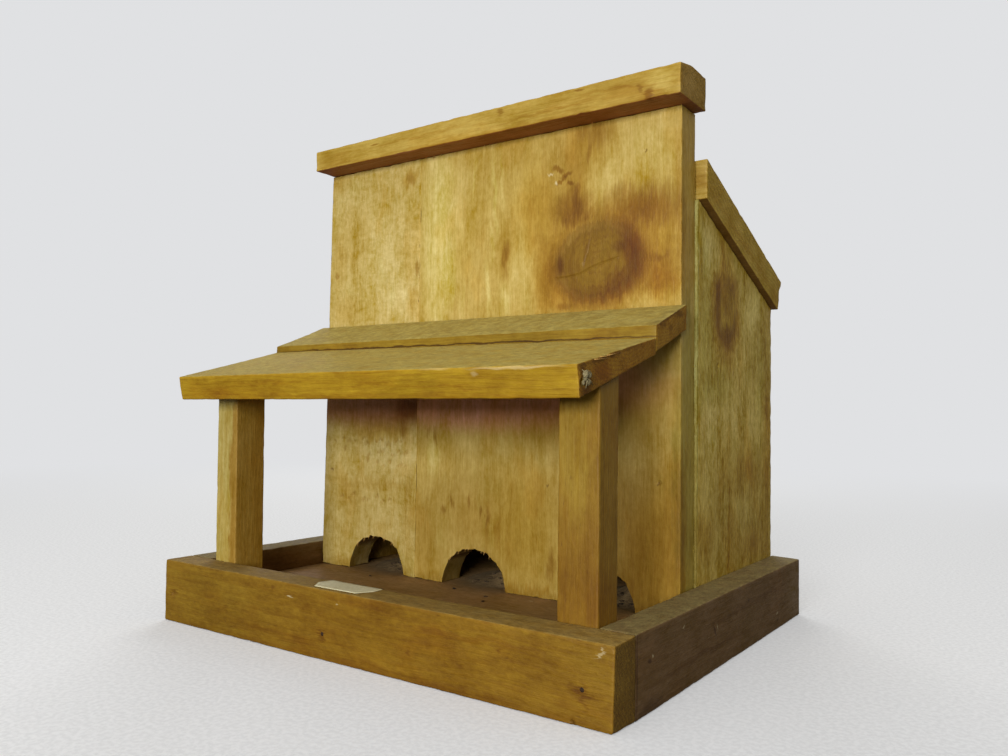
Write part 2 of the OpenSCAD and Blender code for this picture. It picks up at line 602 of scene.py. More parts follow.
    def worn(
        self, points: np.ndarray, arris: np.ndarray, spots: np.ndarray, low: float, high: float
    ) -> np.ndarray:
        """How much wood each vertex has lost, always towards the inside of the board.

        Args:
            points: The vertices in the model.
            arris: How near each is to an edge.
            spots: The vertices in the board's own axes.
            low: Where the thickness starts.
            high: Where it ends.

        Returns:
            One depth per vertex.
        """
        loss = self.wave * lumps(points, 38.0, self.seed)
        loss += 0.05 * lumps(points, 2.2, self.seed + 1)
        nibble = np.clip(lumps(points, 5.0, self.seed + 2) - 0.52, 0, 1) * 2.2
        bite = np.clip(lumps(points, 2.4, self.seed + 3) - 0.66, 0, 1) * 3.0
        loss += self.wear * arris * (0.25 + nibble + bite)
        for chip in self.chips:
            gap = np.linalg.norm(points - np.array(chip.at), axis=1) / chip.radius
            rough = 0.65 + 0.7 * lumps(points, 1.6, self.seed + 4)
            loss += chip.depth * rough * np.clip(1.15 - gap * gap, 0, 1)
        for at, marks in ((low, self.near), (high, self.far)):
            if marks:
                on = np.abs(spots[:, 2] - at) < 1e-6
                loss[on] += self.depth_at(spots[on, :2], marks)
        return loss


# ---- materials


class Graph:
    """The node tree of a material or of the world, built one call at a time."""

    def __init__(self, owner: bpy.types.Material | bpy.types.World) -> None:
        """Starts an empty tree in its owner.

        Args:
            owner: The material or the world.
        """
        owner.use_nodes = True
        self.owner = owner
        self.tree = owner.node_tree
        self.tree.nodes.clear()

    def add(self, kind: str, inputs: dict | None = None, **settings: object) -> bpy.types.Node:
        """Adds a node.

        Args:
            kind: The node's type, without its "ShaderNode" start.
            inputs: Socket names or numbers, with a value or another node's socket.
            **settings: The node's own settings.

        Returns:
            The node.
        """
        node = self.tree.nodes.new("ShaderNode" + kind)
        for key, value in settings.items():
            setattr(node, key, value)
        for key, value in (inputs or {}).items():
            socket = node.inputs[key]
            if isinstance(value, Socket):
                self.tree.links.new(value, socket)
            elif socket.type == "RGBA" and len(value) == 3:
                socket.default_value = (*value, 1.0)
            else:
                socket.default_value = value
        return node

    def math(self, operation: str, *values: object, clamp: bool = False) -> Socket:
        """A sum on plain numbers or sockets, kept between 0 and 1 if it is clamped."""
        node = self.add("Math", dict(enumerate(values)), operation=operation, use_clamp=clamp)
        return node.outputs[0]

    def vector(self, operation: str, *values: object) -> Socket:
        """A sum on vectors or sockets, which gives a number for a length or a dot product."""
        node = self.add("VectorMath", dict(enumerate(values)), operation=operation)
        return node.outputs["Value" if operation in ("LENGTH", "DOT_PRODUCT") else "Vector"]

    def place(self) -> Socket:
        """The place in the model, in millimetres."""
        return self.scaled(self.add("TexCoord").outputs["Object"], (MM, MM, MM))

    def scaled(self, vector: Socket, sizes: Point) -> Socket:
        """Divides a place by a size along each axis."""
        return self.vector("MULTIPLY", vector, tuple(1.0 / s for s in sizes))

    def noise(self, vector: Socket, detail: float = 2.0, rough: float = 0.5, bend: float = 0.0) -> Socket:
        """Soft noise about one unit across, with so many finer layers, so strong, and bent by itself."""
        inputs = {"Vector": vector, "Scale": 1.0, "Detail": detail, "Roughness": rough, "Distortion": bend}
        return self.add("TexNoise", inputs).outputs["Fac"]

    def shifts(self, vector: Socket, detail: float = 2.0) -> Socket:
        """Soft noise in three parts, each from about -0.25 to 0.25."""
        colour = self.add("TexNoise", {"Vector": vector, "Scale": 1.0, "Detail": detail}).outputs["Color"]
        return self.vector("SUBTRACT", colour, (0.5, 0.5, 0.5))

    def span(
        self, value: Socket, low: float, high: float, to_low: float = 0.0, to_high: float = 1.0
    ) -> Socket:
        """Turns one range of a number into another, easing in and out, and keeps it there."""
        inputs = {"Value": value, "From Min": low, "From Max": high, "To Min": to_low, "To Max": to_high}
        return self.add("MapRange", inputs, interpolation_type="SMOOTHSTEP", clamp=False).outputs["Result"]

    def mix(self, share: object, first: object, second: object, blend: str = "MIX") -> Socket:
        """Mixes two colours.

        Args:
            share: How much of the second one shows.
            first: A colour or a socket.
            second: A colour or a socket.
            blend: How they are mixed.

        Returns:
            The colour's socket.
        """
        node = self.add("Mix", {"Factor": share}, data_type="RGBA", blend_type=blend, clamp_factor=True)
        for socket, value in ((node.inputs[6], first), (node.inputs[7], second)):
            if isinstance(value, Socket):
                self.tree.links.new(value, socket)
            else:
                socket.default_value = (*value, 1.0)
        return node.outputs[2]

    def profile(self, value: Socket, stops: tuple[Spot, ...]) -> Socket:
        """Turns a number from 0 to 1 into another along a curve of straight pieces.

        Args:
            value: The number.
            stops: Places along the curve, each with its height.

        Returns:
            The height's socket.
        """
        node = self.add("ValToRGB", {"Fac": value})
        ramp = node.color_ramp
        while len(ramp.elements) < len(stops):
            ramp.elements.new(0.5)
        for element, (place, height) in zip(ramp.elements, stops):
            element.position = place
            element.color = (height,) * 4
        return node.outputs["Alpha"]

    def mapped(self, place: Socket, at: Point, reach: Point, turn: float = 0.0, about: int = 1) -> Socket:
        """Places measured from a middle, in units of a half size along each axis.

        Args:
            place: The place in the model.
            at: The middle.
            reach: The half sizes.
            turn: How far the shape leans, in degrees.
            about: The axis that it turns about.

        Returns:
            The measured place.
        """
        if not turn:
            ends = tuple(-a / r for a, r in zip(at, reach))
            return self.vector("MULTIPLY_ADD", place, tuple(1.0 / r for r in reach), ends)
        moved = self.vector("SUBTRACT", place, at)
        rows = Matrix.Rotation(math.radians(turn), 3, "XYZ"[about]).transposed()
        rows = [tuple(c / r for c in row) for row, r in zip(rows, reach)]
        parts = [self.vector("DOT_PRODUCT", moved, row) for row in rows]
        return self.add("CombineXYZ", dict(enumerate(parts))).outputs[0]

    def finish(
        self, colour: Socket, rough: Socket, height: Socket, gloss: float, metal: float = 0.0
    ) -> bpy.types.Material:
        """Closes the tree with its shader.

        Args:
            colour: The surface's colour.
            rough: Its roughness.
            height: Its relief in millimetres.
            gloss: How much it mirrors at a right angle, where 0.5 is plain varnish.
            metal: 1 for bare metal.

        Returns:
            The material.
        """
        bump = self.add("Bump", {"Height": height, "Distance": MM, "Strength": 1.0}).outputs["Normal"]
        inputs = {"Base Color": colour, "Roughness": rough, "Normal": bump}
        shader = self.add("BsdfPrincipled", {**inputs, "Specular IOR Level": gloss, "Metallic": metal})
        self.add("OutputMaterial", {"Surface": shader.outputs[0]})
        return self.owner


class Grain(Enum):
    """Which way a board's grain runs, as its axes along, across and through the board."""

    UP = (2, 0, 1)
    UP_SIDE = (2, 1, 0)
    ALONG_X = (0, 2, 1)
    ALONG_X_FLAT = (0, 1, 2)
    ALONG_Y = (1, 2, 0)


class Fray(Enum):
    """How ragged a mark's edge is, as a share of the full raggedness."""

    CLEAN = 0.0
    LIGHT = 0.3
    FULL = 1.0


class Tint(Enum):
    """What a mark multiplies the wood's colour by, or the colour that covers the wood."""

    BROWN = (0.56, 0.40, 0.05)
    TAN = (0.82, 0.70, 0.34)
    SOOT = (0.30, 0.22, 0.15)
    RED = (0.66, 0.42, 0.06)
    GOLD = (0.95, 0.88, 0.50)
    OLIVE = (0.84, 0.88, 0.70)
    PALE = (1.14, 1.22, 1.50)
    SAP = (1.22, 1.38, 1.80)
    CHALK = (1.12, 1.18, 1.60)
    # Darker towards the bottom of a board.
    DARKER_LOW = (0.76, 0.73, 0.66)
    # Darker and browner at the lower right of the wide board.
    DARKER_LOW_RIGHT = (0.84, 0.66, 0.22)
    # Painted shade: the porch's cast shadow on the front wall, with the reddish light that the porch
    # bounces into it.
    PORCH_SHADOW = (1.36, 0.95, 2.10)
    # Painted shade: the porch's cast shadow on the narrow board.
    PORCH_SHADOW_NARROW = (0.77, 0.46, 0.52)
    FOOT = (0.66, 0.70, 0.42)
    DULL = (0.50, 0.60, 0.75)
    FILM = (0.16, 0.125, 0.075)
    SHADE = (0.44, 0.41, 0.42)
    GLINT = (0.80, 0.70, 0.42)


@dataclass(frozen=True)
class Mark:
    """A stain, knot or pale place on a board.

    Attributes:
        at: Its middle in the model.
        reach: Its half sizes along the three axes.
        tint: Its colour.
        strength: How much of it shows.
        edge: How soft its edge is, from 0 to 1.
        turn: How far it leans, in degrees.
        about: The axis that it leans about.
        cover: Whether it hides the wood instead of soaking in.
        fray: How ragged its edge is.
        sides_only: Whether it keeps off the board's two broad faces.
    """

    at: Point
    reach: Point
    tint: Tint
    strength: float = 0.7
    edge: float = 0.6
    turn: float = 0.0
    about: int = 1
    cover: bool = False
    fray: Fray = Fray.FULL
    sides_only: bool = False


@dataclass(frozen=True)
class Knot:
    """A knot: a brown ring, rings inside it, and grain that runs round it.

    Attributes:
        at: Its middle in the model.
        reach: Its half sizes along the three axes.
        turn: How far it leans, in degrees.
        about: The axis that it leans about.
        core: What the wood inside is multiplied by.
        rim: What the ring is multiplied by.
        lean: The direction in which the ring is strongest.
        show: How strongly the ring shows on its weak and on its strong side.
        gap: Distance between the inner rings, as a share of the knot's size.
        push: How far it pushes the board's own rings aside.
        fill: How strongly the wood inside is toned.
        halo: What the wood round it is multiplied by.
    """

    at: Point
    reach: Point
    turn: float = 0.0
    about: int = 1
    core: Colour = (0.46, 0.35, 0.05)
    rim: Colour = (0.62, 0.43, 0.10)
    lean: Point = (0.7, 0.0, -0.7)
    show: Spot = (0.35, 1.0)
    gap: float = 0.17
    push: float = 14.0
    fill: float = 0.95
    halo: Colour = (0.84, 0.72, 0.38)

    def draw(self, g: Graph, colour: Socket, place: Socket, rough: Socket) -> Socket:
        """Draws the knot over the wood.

        Args:
            g: The tree.
            colour: The wood's colour.
            place: The place in the model, a little frayed.
            rough: Noise that breaks the ring up.

        Returns:
            The colour with the knot.
        """
        spot = g.mapped(place, self.at, self.reach, self.turn, self.about)
        near = g.math("MULTIPLY_ADD", g.math("SUBTRACT", rough, 0.5), 0.35, g.vector("LENGTH", spot))
        within = g.span(near, 1.22, 0.70, 0.0, self.fill)
        colour = g.mix(within, colour, self.core, "MULTIPLY")
        turns = g.math("FRACT", g.math("DIVIDE", near, self.gap))
        lines = g.profile(turns, ((0.0, 0.2), (0.35, 0.0), (0.7, 0.75), (0.85, 1.0), (1.0, 0.2)))
        around = g.span(near, 1.5, 0.7, 0.0, 1.0)
        lines = g.math("MULTIPLY", g.math("MULTIPLY", lines, around), g.span(rough, 0.35, 0.65, 0.1, 0.8))
        colour = g.mix(lines, colour, (0.72, 0.58, 0.30), "MULTIPLY")
        side = g.vector("DOT_PRODUCT", spot, self.lean)
        strong = g.span(side, -0.9, 0.8, self.show[0], self.show[1])
        scaled = g.math("MULTIPLY", near, 0.7)
        stops = ((0.30, 0.0), (0.50, 0.45), (0.60, 1.0), (0.70, 0.95), (0.82, 0.35), (1.0, 0.0))
        rim = g.profile(scaled, stops)
        strong = g.math("MULTIPLY", strong, g.span(rough, 0.25, 0.6, 0.55, 1.0))
        colour = g.mix(g.math("MULTIPLY", rim, strong), colour, self.rim, "MULTIPLY")
        halo = g.span(near, 1.9, 1.05, 0.0, g.span(near, 0.8, 1.1))
        return g.mix(halo, colour, self.halo, "MULTIPLY")


@dataclass(frozen=True)
class Sheet:
    """One face of a board, on which marks are placed by two measures.

    Attributes:
        face: The plane that it lies in.
        level: Where that plane is.
        depth: How deep marks go in from it.
    """

    face: Face
    level: float
    depth: float = 8.0

    def lay(self, spot: Spot, through: float) -> Point:
        """Turns two measures on the face, and one through it, into a place or size in the model."""
        measures = [0.0, 0.0, 0.0]
        for axis, value in zip(self.face.value, (*spot, through)):
            measures[axis] = value
        return tuple(measures)

    def mark(self, at: Spot, reach: Spot, tint: Tint, strength: float = 0.7, **more: object) -> Mark:
        """Makes a mark from its middle and half sizes on the face, its tint and its other fields."""
        middle, sizes = self.lay(at, self.level), self.lay(reach, self.depth)
        return Mark(middle, sizes, tint, strength, about=self.face.value[2], **more)

    def each(self, tint: Tint, *rows: tuple[float, ...], **more: object) -> tuple[Mark, ...]:
        """Makes marks of one tint.

        Args:
            tint: Their colour.
            *rows: For each, its middle, its half sizes, how much of it shows and how far it leans.
            **more: Their other fields.

        Returns:
            The marks.
        """
        return tuple(
            self.mark((a, b), (u, v), tint, show, turn=lean[0] if lean else 0.0, **more)
            for a, b, u, v, show, *lean in rows
        )

    def dots(
        self, spots: tuple[Spot, ...], radius: float, tint: Tint, strength: float = 0.6
    ) -> tuple[Mark, ...]:
        """Makes small round marks of one kind, from their middles on the face."""
        look = {"edge": 0.7, "fray": Fray.LIGHT}
        return tuple(self.mark(spot, (radius, radius), tint, strength, **look) for spot in spots)

    def knot(self, at: Spot, reach: Spot, **more: object) -> Knot:
        """Makes a knot from its middle and half sizes on the face and its other fields."""
        middle, sizes = self.lay(at, self.level), self.lay(reach, 3 * self.depth)
        return Knot(middle, sizes, about=self.face.value[2], **more)


@dataclass(frozen=True)
class WoodFinish:
    """The look of one board.

    Attributes:
        slot: The record's material slot. Not used.
        mean: The wood's colour.
        deep: What the rings are multiplied by.
        ring_gap: Distance between rings.
        ring_show: How strongly rings show.
        grainy: How strongly fibres and blotches show.
        fuzz: How strongly fine speckles show.
        fleck: How many small dark dashes there are.
        end: What end grain is multiplied by.
        edge: What worn edges are multiplied by.
        dust: Colour of the dust on top.
        dust_show: How much dust lies there.
        underside_shade: What the underside is multiplied by: painted shade, partly the wood's own darker
            tone.
        rough: Roughness of the bare face.
        relief: Height of the fibres.
        sawn: Height of the marks that the saw left.
        ripple: How strongly the planer's ripples show, which run across the grain.
    """

    slot: str
    mean: Colour
    deep: Colour = (0.78, 0.66, 0.44)
    ring_gap: float = 3.0
    ring_show: float = 0.35
    grainy: float = 1.0
    fuzz: float = 0.6
    fleck: float = 0.4
    end: Colour = (0.80, 0.72, 0.70)
    edge: Colour = (1.10, 1.08, 1.05)
    dust: Colour = (0.46, 0.38, 0.16)
    dust_show: float = 0.0
    underside_shade: Colour = (0.55, 0.42, 0.36)
    rough: float = 0.56
    relief: float = 0.10
    sawn: float = 0.08
    ripple: float = 0.0

    def dress(
        self,
        name: str,
        grain: Grain,
        heart: Spot,
        marks: tuple[Mark, ...] = (),
        knots: tuple[Knot, ...] = (),
        drift: float = 0.0,
        tilt: float = 0.02,
    ) -> bpy.types.Material:
        """Makes the material of one board.

        Args:
            name: The material's name.
            grain: Which way its grain runs.
            heart: Where the log's middle lies, across and through the board.
            marks: Its stains and pale places.
            knots: Its knots.
            drift: Moves the pattern along the grain, so that no two boards match.
            tilt: How far the log's middle leans, which draws the rings out to points.

        Returns:
            The material.
        """
        g = Graph(bpy.data.materials.new(name))
        place = g.place()
        parts = g.add("SeparateXYZ", {0: place}).outputs
        along, across, through = grain.value
        own = g.add("CombineXYZ", {0: parts[along], 1: parts[across], 2: parts[through]}).outputs[0]
        own = g.vector("ADD", own, (drift, 0.37 * drift, 0.21 * drift))
        wander = g.vector("MULTIPLY_ADD", g.shifts(g.scaled(own, (95, 24, 24))), (0, 7, 7), own)

        rings = self.rings(g, wander, heart, tilt, drift, knots, place)
        fibre = g.noise(g.scaled(own, (10, 0.8, 0.8)), 2.0, 0.65)
        streak = g.noise(g.scaled(wander, (48, 2.2, 2.2)), 2.0, 0.5)
        fuzz = g.noise(g.scaled(wander, (4.2, 2.4, 2.4)), 4.0, 0.7)
        band = g.noise(g.scaled(wander, (400, 12, 12)), 2.0, 0.5)
        blotch = g.noise(g.scaled(wander, (30, 17, 17)), 4.0, 0.62, 0.4)
        dash = g.noise(g.scaled(own, (6.5, 0.6, 0.6)), 2.0, 0.6)

        late = g.math("MULTIPLY", rings, g.span(band, 0.3, 0.7, 0.4 * self.ring_show, 1.2 * self.ring_show))
        colour = g.mix(late, self.mean, self.deep, "MULTIPLY")
        swing = g.math("MULTIPLY", g.math("SUBTRACT", fibre, 0.5), 0.5)
        ripple = g.noise(g.scaled(wander, (3.6, 9, 9)), 3.0, 0.6, 0.8)
        for part, weight in (
            (streak, 0.5),
            (fuzz, self.fuzz),
            (band, 0.55),
            (blotch, 1.35),
            (ripple, self.ripple),
        ):
            swing = g.math("MULTIPLY_ADD", g.math("SUBTRACT", part, 0.5), weight, swing)
        swing = g.math("MULTIPLY", swing, self.grainy)
        gains = [g.math("MULTIPLY_ADD", swing, *more) for more in ((0.85, 1.03), (1.12, 1.03), (3.0, 1.08))]
        colour = g.mix(1.0, colour, g.add("CombineColor", dict(enumerate(gains))).outputs[0], "MULTIPLY")
        hue = g.noise(g.scaled(wander, (55, 26, 26)), 3.0, 0.6)
        green, orange = (0.90, 0.95, 0.80), (0.99, 0.88, 0.60)
        for low, high, show, tint in ((0.55, 0.68, 0.5, green), (0.47, 0.32, 0.7, orange)):
            colour = g.mix(g.span(hue, low, high, 0.0, show * self.grainy), colour, tint, "MULTIPLY")
        dashes = g.span(dash, 0.66, 0.76, 0.0, self.fleck)
        colour = g.mix(dashes, colour, (0.50, 0.38, 0.26), "MULTIPLY")

        relief = g.math("MULTIPLY", rings, self.relief * 0.5)
        relief = g.math("MULTIPLY_ADD", fibre, self.relief * 1.6, relief)
        relief = g.math("MULTIPLY_ADD", dashes, -self.relief * 1.2, relief)
        relief = g.math("MULTIPLY_ADD", fuzz, self.sawn * 2.4, relief)
        frayed = {Fray.CLEAN: place}
        frayed[Fray.FULL] = self.frayed(g, place, own, along)
        shift = g.vector("SUBTRACT", frayed[Fray.FULL], place)
        frayed[Fray.LIGHT] = g.vector("MULTIPLY_ADD", shift, (Fray.LIGHT.value,) * 3, place)
        for knot in knots:
            colour = knot.draw(g, colour, frayed[Fray.LIGHT], fuzz)
        normal = g.add("NewGeometry").outputs["Normal"]
        broad = [0.0, 0.0, 0.0]
        broad[through] = 1.0
        side = g.span(g.math("ABSOLUTE", g.vector("DOT_PRODUCT", normal, tuple(broad))), 0.85, 0.5)
        for mark in marks:
            spot = g.mapped(frayed[mark.fray], mark.at, mark.reach, mark.turn, mark.about)
            near = g.vector("LENGTH", spot)
            share = g.span(near, 1.0 + mark.edge * 0.5, 1.0 - mark.edge, 0.0, mark.strength)
            if mark.sides_only:
                share = g.math("MULTIPLY", share, side)
            colour = g.mix(share, colour, mark.tint.value, "MIX" if mark.cover else "MULTIPLY")

        axis = [0.0, 0.0, 0.0]
        axis[along] = 1.0
        cut = g.math("ABSOLUTE", g.vector("DOT_PRODUCT", normal, tuple(axis)))
        cut = g.span(cut, 0.75, 0.95, 0.0, 1.0)
        speck = g.noise(g.scaled(place, (0.9, 0.9, 0.9)), 3.0, 0.7)
        saw = g.noise(g.scaled(own, (3.0, 9.0, 0.6)), 2.0, 0.6)
        cut_tint = g.mix(g.span(speck, 0.38, 0.66), shaded(self.end, 1.08), shaded(self.end, 0.82))
        cut_tint = g.mix(g.math("MULTIPLY", rings, 0.4), cut_tint, (0.72, 0.62, 0.55), "MULTIPLY")
        colour = g.mix(cut, colour, cut_tint, "MULTIPLY")
        torn = g.math("MULTIPLY", cut, g.math("MULTIPLY_ADD", speck, 0.5, g.math("MULTIPLY", saw, 0.4)))
        relief = g.math("ADD", relief, torn)

        worn = g.add("Attribute", attribute_name="arris").outputs["Fac"]
        worn = g.math("MULTIPLY", g.span(worn, 0.25, 0.8), g.span(speck, 0.3, 0.7, 0.3, 1.0))
        colour = g.mix(worn, colour, self.edge, "MULTIPLY")

        up = g.vector("DOT_PRODUCT", normal, (0, 0, 1))
        lie = g.noise(g.scaled(place, (9, 9, 9)), 4.0, 0.65)
        dusty = g.math("MULTIPLY", g.span(up, 0.5, 0.9), g.span(lie, 0.3, 0.65, 0.5, 1.0))
        dusty = g.math("MULTIPLY", dusty, self.dust_show)
        speckled = g.mix(g.span(fuzz, 0.36, 0.64), shaded(self.dust, 0.82), shaded(self.dust, 1.2))
        colour = g.mix(dusty, colour, speckled)
        grit = g.math("MULTIPLY", dusty, g.span(dash, 0.56, 0.68, 0.0, 0.75))
        colour = g.mix(grit, colour, (0.66, 0.54, 0.34), "MULTIPLY")
        # Painted shade on faces that look down, partly the wood's own darker tone.
        colour = g.mix(g.span(up, -0.5, -0.9), colour, self.underside_shade, "MULTIPLY")

        rough = g.span(fibre, 0.3, 0.7, self.rough + 0.08, self.rough - 0.08)
        rough = g.math("MULTIPLY_ADD", late, -0.10, rough)
        rough = g.math("MULTIPLY_ADD", g.math("MAXIMUM", dusty, cut), 0.3, rough, clamp=True)
        return g.finish(colour, rough, relief, 0.27)

    def rings(
        self,
        g: Graph,
        wander: Socket,
        heart: Spot,
        tilt: float,
        drift: float,
        knots: tuple[Knot, ...],
        place: Socket,
    ) -> Socket:
        """Draws the growth rings.

        Args:
            g: The tree.
            wander: The place in the board's own axes, wandering a little.
            heart: Where the log's middle lies, across and through the board.
            tilt: How far the log's middle leans.
            drift: How far the pattern was moved.
            knots: The knots that the rings run round.
            place: The place in the model.

        Returns:
            How much late wood shows, from 0 to 1.
        """
        middle = (drift, heart[0] + 0.37 * drift, heart[1] + 0.21 * drift)
        inputs = {"Vector": wander, "Location": middle, "Rotation": (0.0, tilt, tilt * 0.7)}
        centred = g.add("Mapping", inputs, vector_type="TEXTURE").outputs[0]
        radius = g.vector("LENGTH", g.vector("MULTIPLY", centred, (0, 1, 1)))
        for knot in knots:
            near = g.vector("LENGTH", g.mapped(place, knot.at, knot.reach, knot.turn, knot.about))
            radius = g.math("ADD", radius, g.span(near, 0.0, 2.2, knot.push, 0.0))
        phase = g.math("FRACT", g.math("DIVIDE", radius, self.ring_gap))
        stops = ((0.0, 0.1), (0.3, 0.12), (0.75, 0.75), (0.87, 1.0), (0.96, 0.3), (1.0, 0.1))
        return g.profile(phase, stops)

    @staticmethod
    def frayed(g: Graph, place: Socket, own: Socket, along: int) -> Socket:
        """Moves a place a little by noise, so that a mark's edge runs ragged along the grain.

        Args:
            g: The tree.
            place: The place in the model.
            own: The place in the board's own axes.
            along: The axis of the grain.

        Returns:
            The moved place.
        """
        soft, fine = [9.0] * 3, [3.5] * 3
        soft[along], fine[along] = 13.0, 15.0
        moved = g.vector("MULTIPLY_ADD", g.shifts(g.scaled(own, (14, 6, 6)), 3.0), tuple(soft), place)
        return g.vector("MULTIPLY_ADD", g.shifts(g.scaled(own, (24, 1.1, 1.1))), tuple(fine), moved)


@dataclass(frozen=True)
class SmallFinish:
    """The look of a small thing: two tones in lumps and specks.

    Attributes:
        light: Its lighter tone.
        dark: Its darker tone.
        lump: Size of the larger patches.
        speck: Size of the specks.
        rough: Its roughness.
        relief: Height of the specks.
        metal: 1 for bare metal.
    """

    light: Colour
    dark: Colour
    lump: float = 3.0
    speck: float = 0.5
    rough: float = 0.8
    relief: float = 0.08
    metal: float = 0.0

    def dress(self, name: str) -> bpy.types.Material:
        """Makes the material.

        Args:
            name: The material's name.

        Returns:
            The material.
        """
        g = Graph(bpy.data.materials.new(name))
        place = g.place()
        lump = g.noise(g.scaled(place, (self.lump,) * 3), 3.0, 0.6, 0.4)
        speck = g.noise(g.scaled(place, (self.speck,) * 3), 2.0, 0.6)
        share = g.math("MULTIPLY_ADD", speck, 0.45, g.math("MULTIPLY", lump, 0.55))
        colour = g.mix(g.span(share, 0.38, 0.62, 0.0, 1.0), self.light, self.dark)
        rough = g.span(speck, 0.3, 0.7, self.rough - 0.1, min(1.0, self.rough + 0.1))
        relief = g.math("MULTIPLY_ADD", speck, 2 * self.relief, g.math("MULTIPLY", lump, 2 * self.relief))
        return g.finish(colour, rough, relief, 0.3, self.metal)


# ---- small things


Height = Callable[[np.ndarray], np.ndarray]


class Shape:
    """A mesh put together from small closed bodies."""

    def __init__(self) -> None:
        """Starts with nothing."""
        self.points: list[Point] = []
        self.faces: list[Corners] = []

    def add(self, points: np.ndarray, faces: list[Corners]) -> None:
        """Adds a body.

        Args:
            points: Its points in millimetres.
            faces: Its faces, by the numbers of its own points.
        """
        start = len(self.points)
        self.points.extend(map(tuple, np.asarray(points, float).tolist()))
        self.faces.extend(tuple(start + i for i in face) for face in faces)

    def tube(self, rows: list[np.ndarray]) -> None:
        """Adds a body that is closed round a row of rings with as many points each.

        Args:
            rows: The rings, which turn anticlockwise round the way they follow each other.
        """
        count, last = len(rows[0]), (len(rows) - 1) * len(rows[0])
        first_cap, last_cap = tuple(reversed(range(count))), tuple(range(last, last + count))
        self.add(np.vstack(rows), [first_cap, *bands(len(rows), count), last_cap])

    def turned(
        self, at: Point, out: Point, profile: tuple[Spot, ...], bump: float = 0.0, seed: int = 1
    ) -> None:
        """Adds a body that is round about an axis.

        Args:
            at: Where the axis starts.
            out: Which way the axis points.
            profile: Heights along the axis, each with its radius.
            bump: How uneven it is.
            seed: Which noise makes it so.
        """
        turn = Vector(out).to_track_quat("Z", "Y").to_matrix()
        rows = []
        for height, radius in profile:
            ring = np.column_stack([radius * circle(16), np.full(16, height)])
            rows.append(ring @ np.array(turn).T + np.array(at))
        if bump:
            swells = [bump * (lumps(row, 1.1, seed)[:, None] - 0.5) for row in rows]
            rows = [row + swell * (row - np.array(at)) for row, swell in zip(rows, swells)]
        self.tube(rows)

    def blade(self, path: tuple[Point, ...], width: float, thick: float, tip: float = 0.12) -> None:
        """Adds a splinter or thread that tapers along a path.

        Args:
            path: The points that it runs through.
            width: Its width at the root.
            thick: Its thickness at the root.
            tip: What is left of both at the tip.
        """
        line = np.array(path, float)
        rows = []
        for k, spot in enumerate(line):
            ahead = Vector(line[min(k + 1, len(line) - 1)] - line[max(k - 1, 0)])
            turn = np.array(ahead.to_track_quat("Z", "Y").to_matrix())
            share = 1 - (1 - tip) * (k / (len(line) - 1)) ** 1.4
            arm = np.column_stack([circle(6) * (width / 2, thick / 2), np.zeros(6)]) * share
            rows.append(arm @ turn.T + spot)
        self.tube(rows)

    def husk(self, at: Point, size: Point, heading: float, lean: float, seed: int) -> None:
        """Adds a seed husk, pointed at one end.

        Args:
            at: Its middle.
            size: Its half length, half width and half height.
            heading: Which way it points, in degrees.
            lean: How far it tips up, in degrees.
            seed: Which noise makes it uneven.
        """
        turn = Matrix.Rotation(math.radians(heading), 3, "Z") @ Matrix.Rotation(math.radians(lean), 3, "Y")
        rows = []
        for share in (-0.98, -0.8, -0.45, 0.0, 0.4, 0.75, 0.97):
            swell = math.sqrt(1 - share * share) * (1 - 0.35 * share)
            ring = np.column_stack([np.full(8, share * size[0]), swell * circle(8) * size[1:]])
            ring *= 0.85 + 0.3 * lumps(ring + 31.7 * seed, 0.9, seed)[:, None]
            rows.append(ring @ np.array(turn).T + np.array(at))
        self.tube(rows)

    def bed(self, edge: np.ndarray, step: float, low: float, height: Height) -> None:
        """Adds a heap or a leaf that lies on a level plane.

        Args:
            edge: Its outline seen from above, anticlockwise.
            step: The spacing of its mesh.
            low: The level that it stands on.
            height: How high its top lies above that level, for rows of places.
        """
        lengths = np.linalg.norm(np.roll(edge, -1, 0) - edge, axis=1)
        ring = []
        for start, end, length in zip(edge, np.roll(edge, -1, 0), lengths):
            count = max(1, round(length / step))
            ring.extend(start + (end - start) * k / count for k in range(count))
        ring = np.array(ring)
        least, most = ring.min(0), ring.max(0)
        xs, ys = (np.arange(least[axis], most[axis], step) for axis in (0, 1))
        inner = np.array([(x, y) for y in ys for x in xs]) + 0.3 * step
        inner = inner[inside(inner, ring)]
        inner = inner[clear_of(inner, ring) > 0.6 * step]
        every = np.vstack([ring, inner])
        tops = meshed(every, len(ring))
        count, total = len(ring), len(every)
        upper = np.column_stack([every, low + height(every)])
        lower = np.column_stack([every, np.full(total, low)])
        closed = tops + [tuple(total + i for i in reversed(face)) for face in tops]
        closed += [(i, total + i, total + (i + 1) % count, (i + 1) % count) for i in range(count)]
        self.add(np.vstack([upper, lower]), closed)

    def mesh(self, name: str) -> bpy.types.Mesh:
        """Makes the mesh, in metres, shaded smooth.

        Args:
            name: The mesh's name.

        Returns:
            The mesh.
        """
        mesh = bpy.data.meshes.new(name)
        mesh.from_pydata((np.array(self.points) * MM).tolist(), [], self.faces)
        for polygon in mesh.polygons:
            polygon.use_smooth = True
        mesh.update()
        return mesh


# ---- the feeder


# Where the middles of the three arches lie, along X.
ARCHES = (-86.0, -2.0, 86.5)

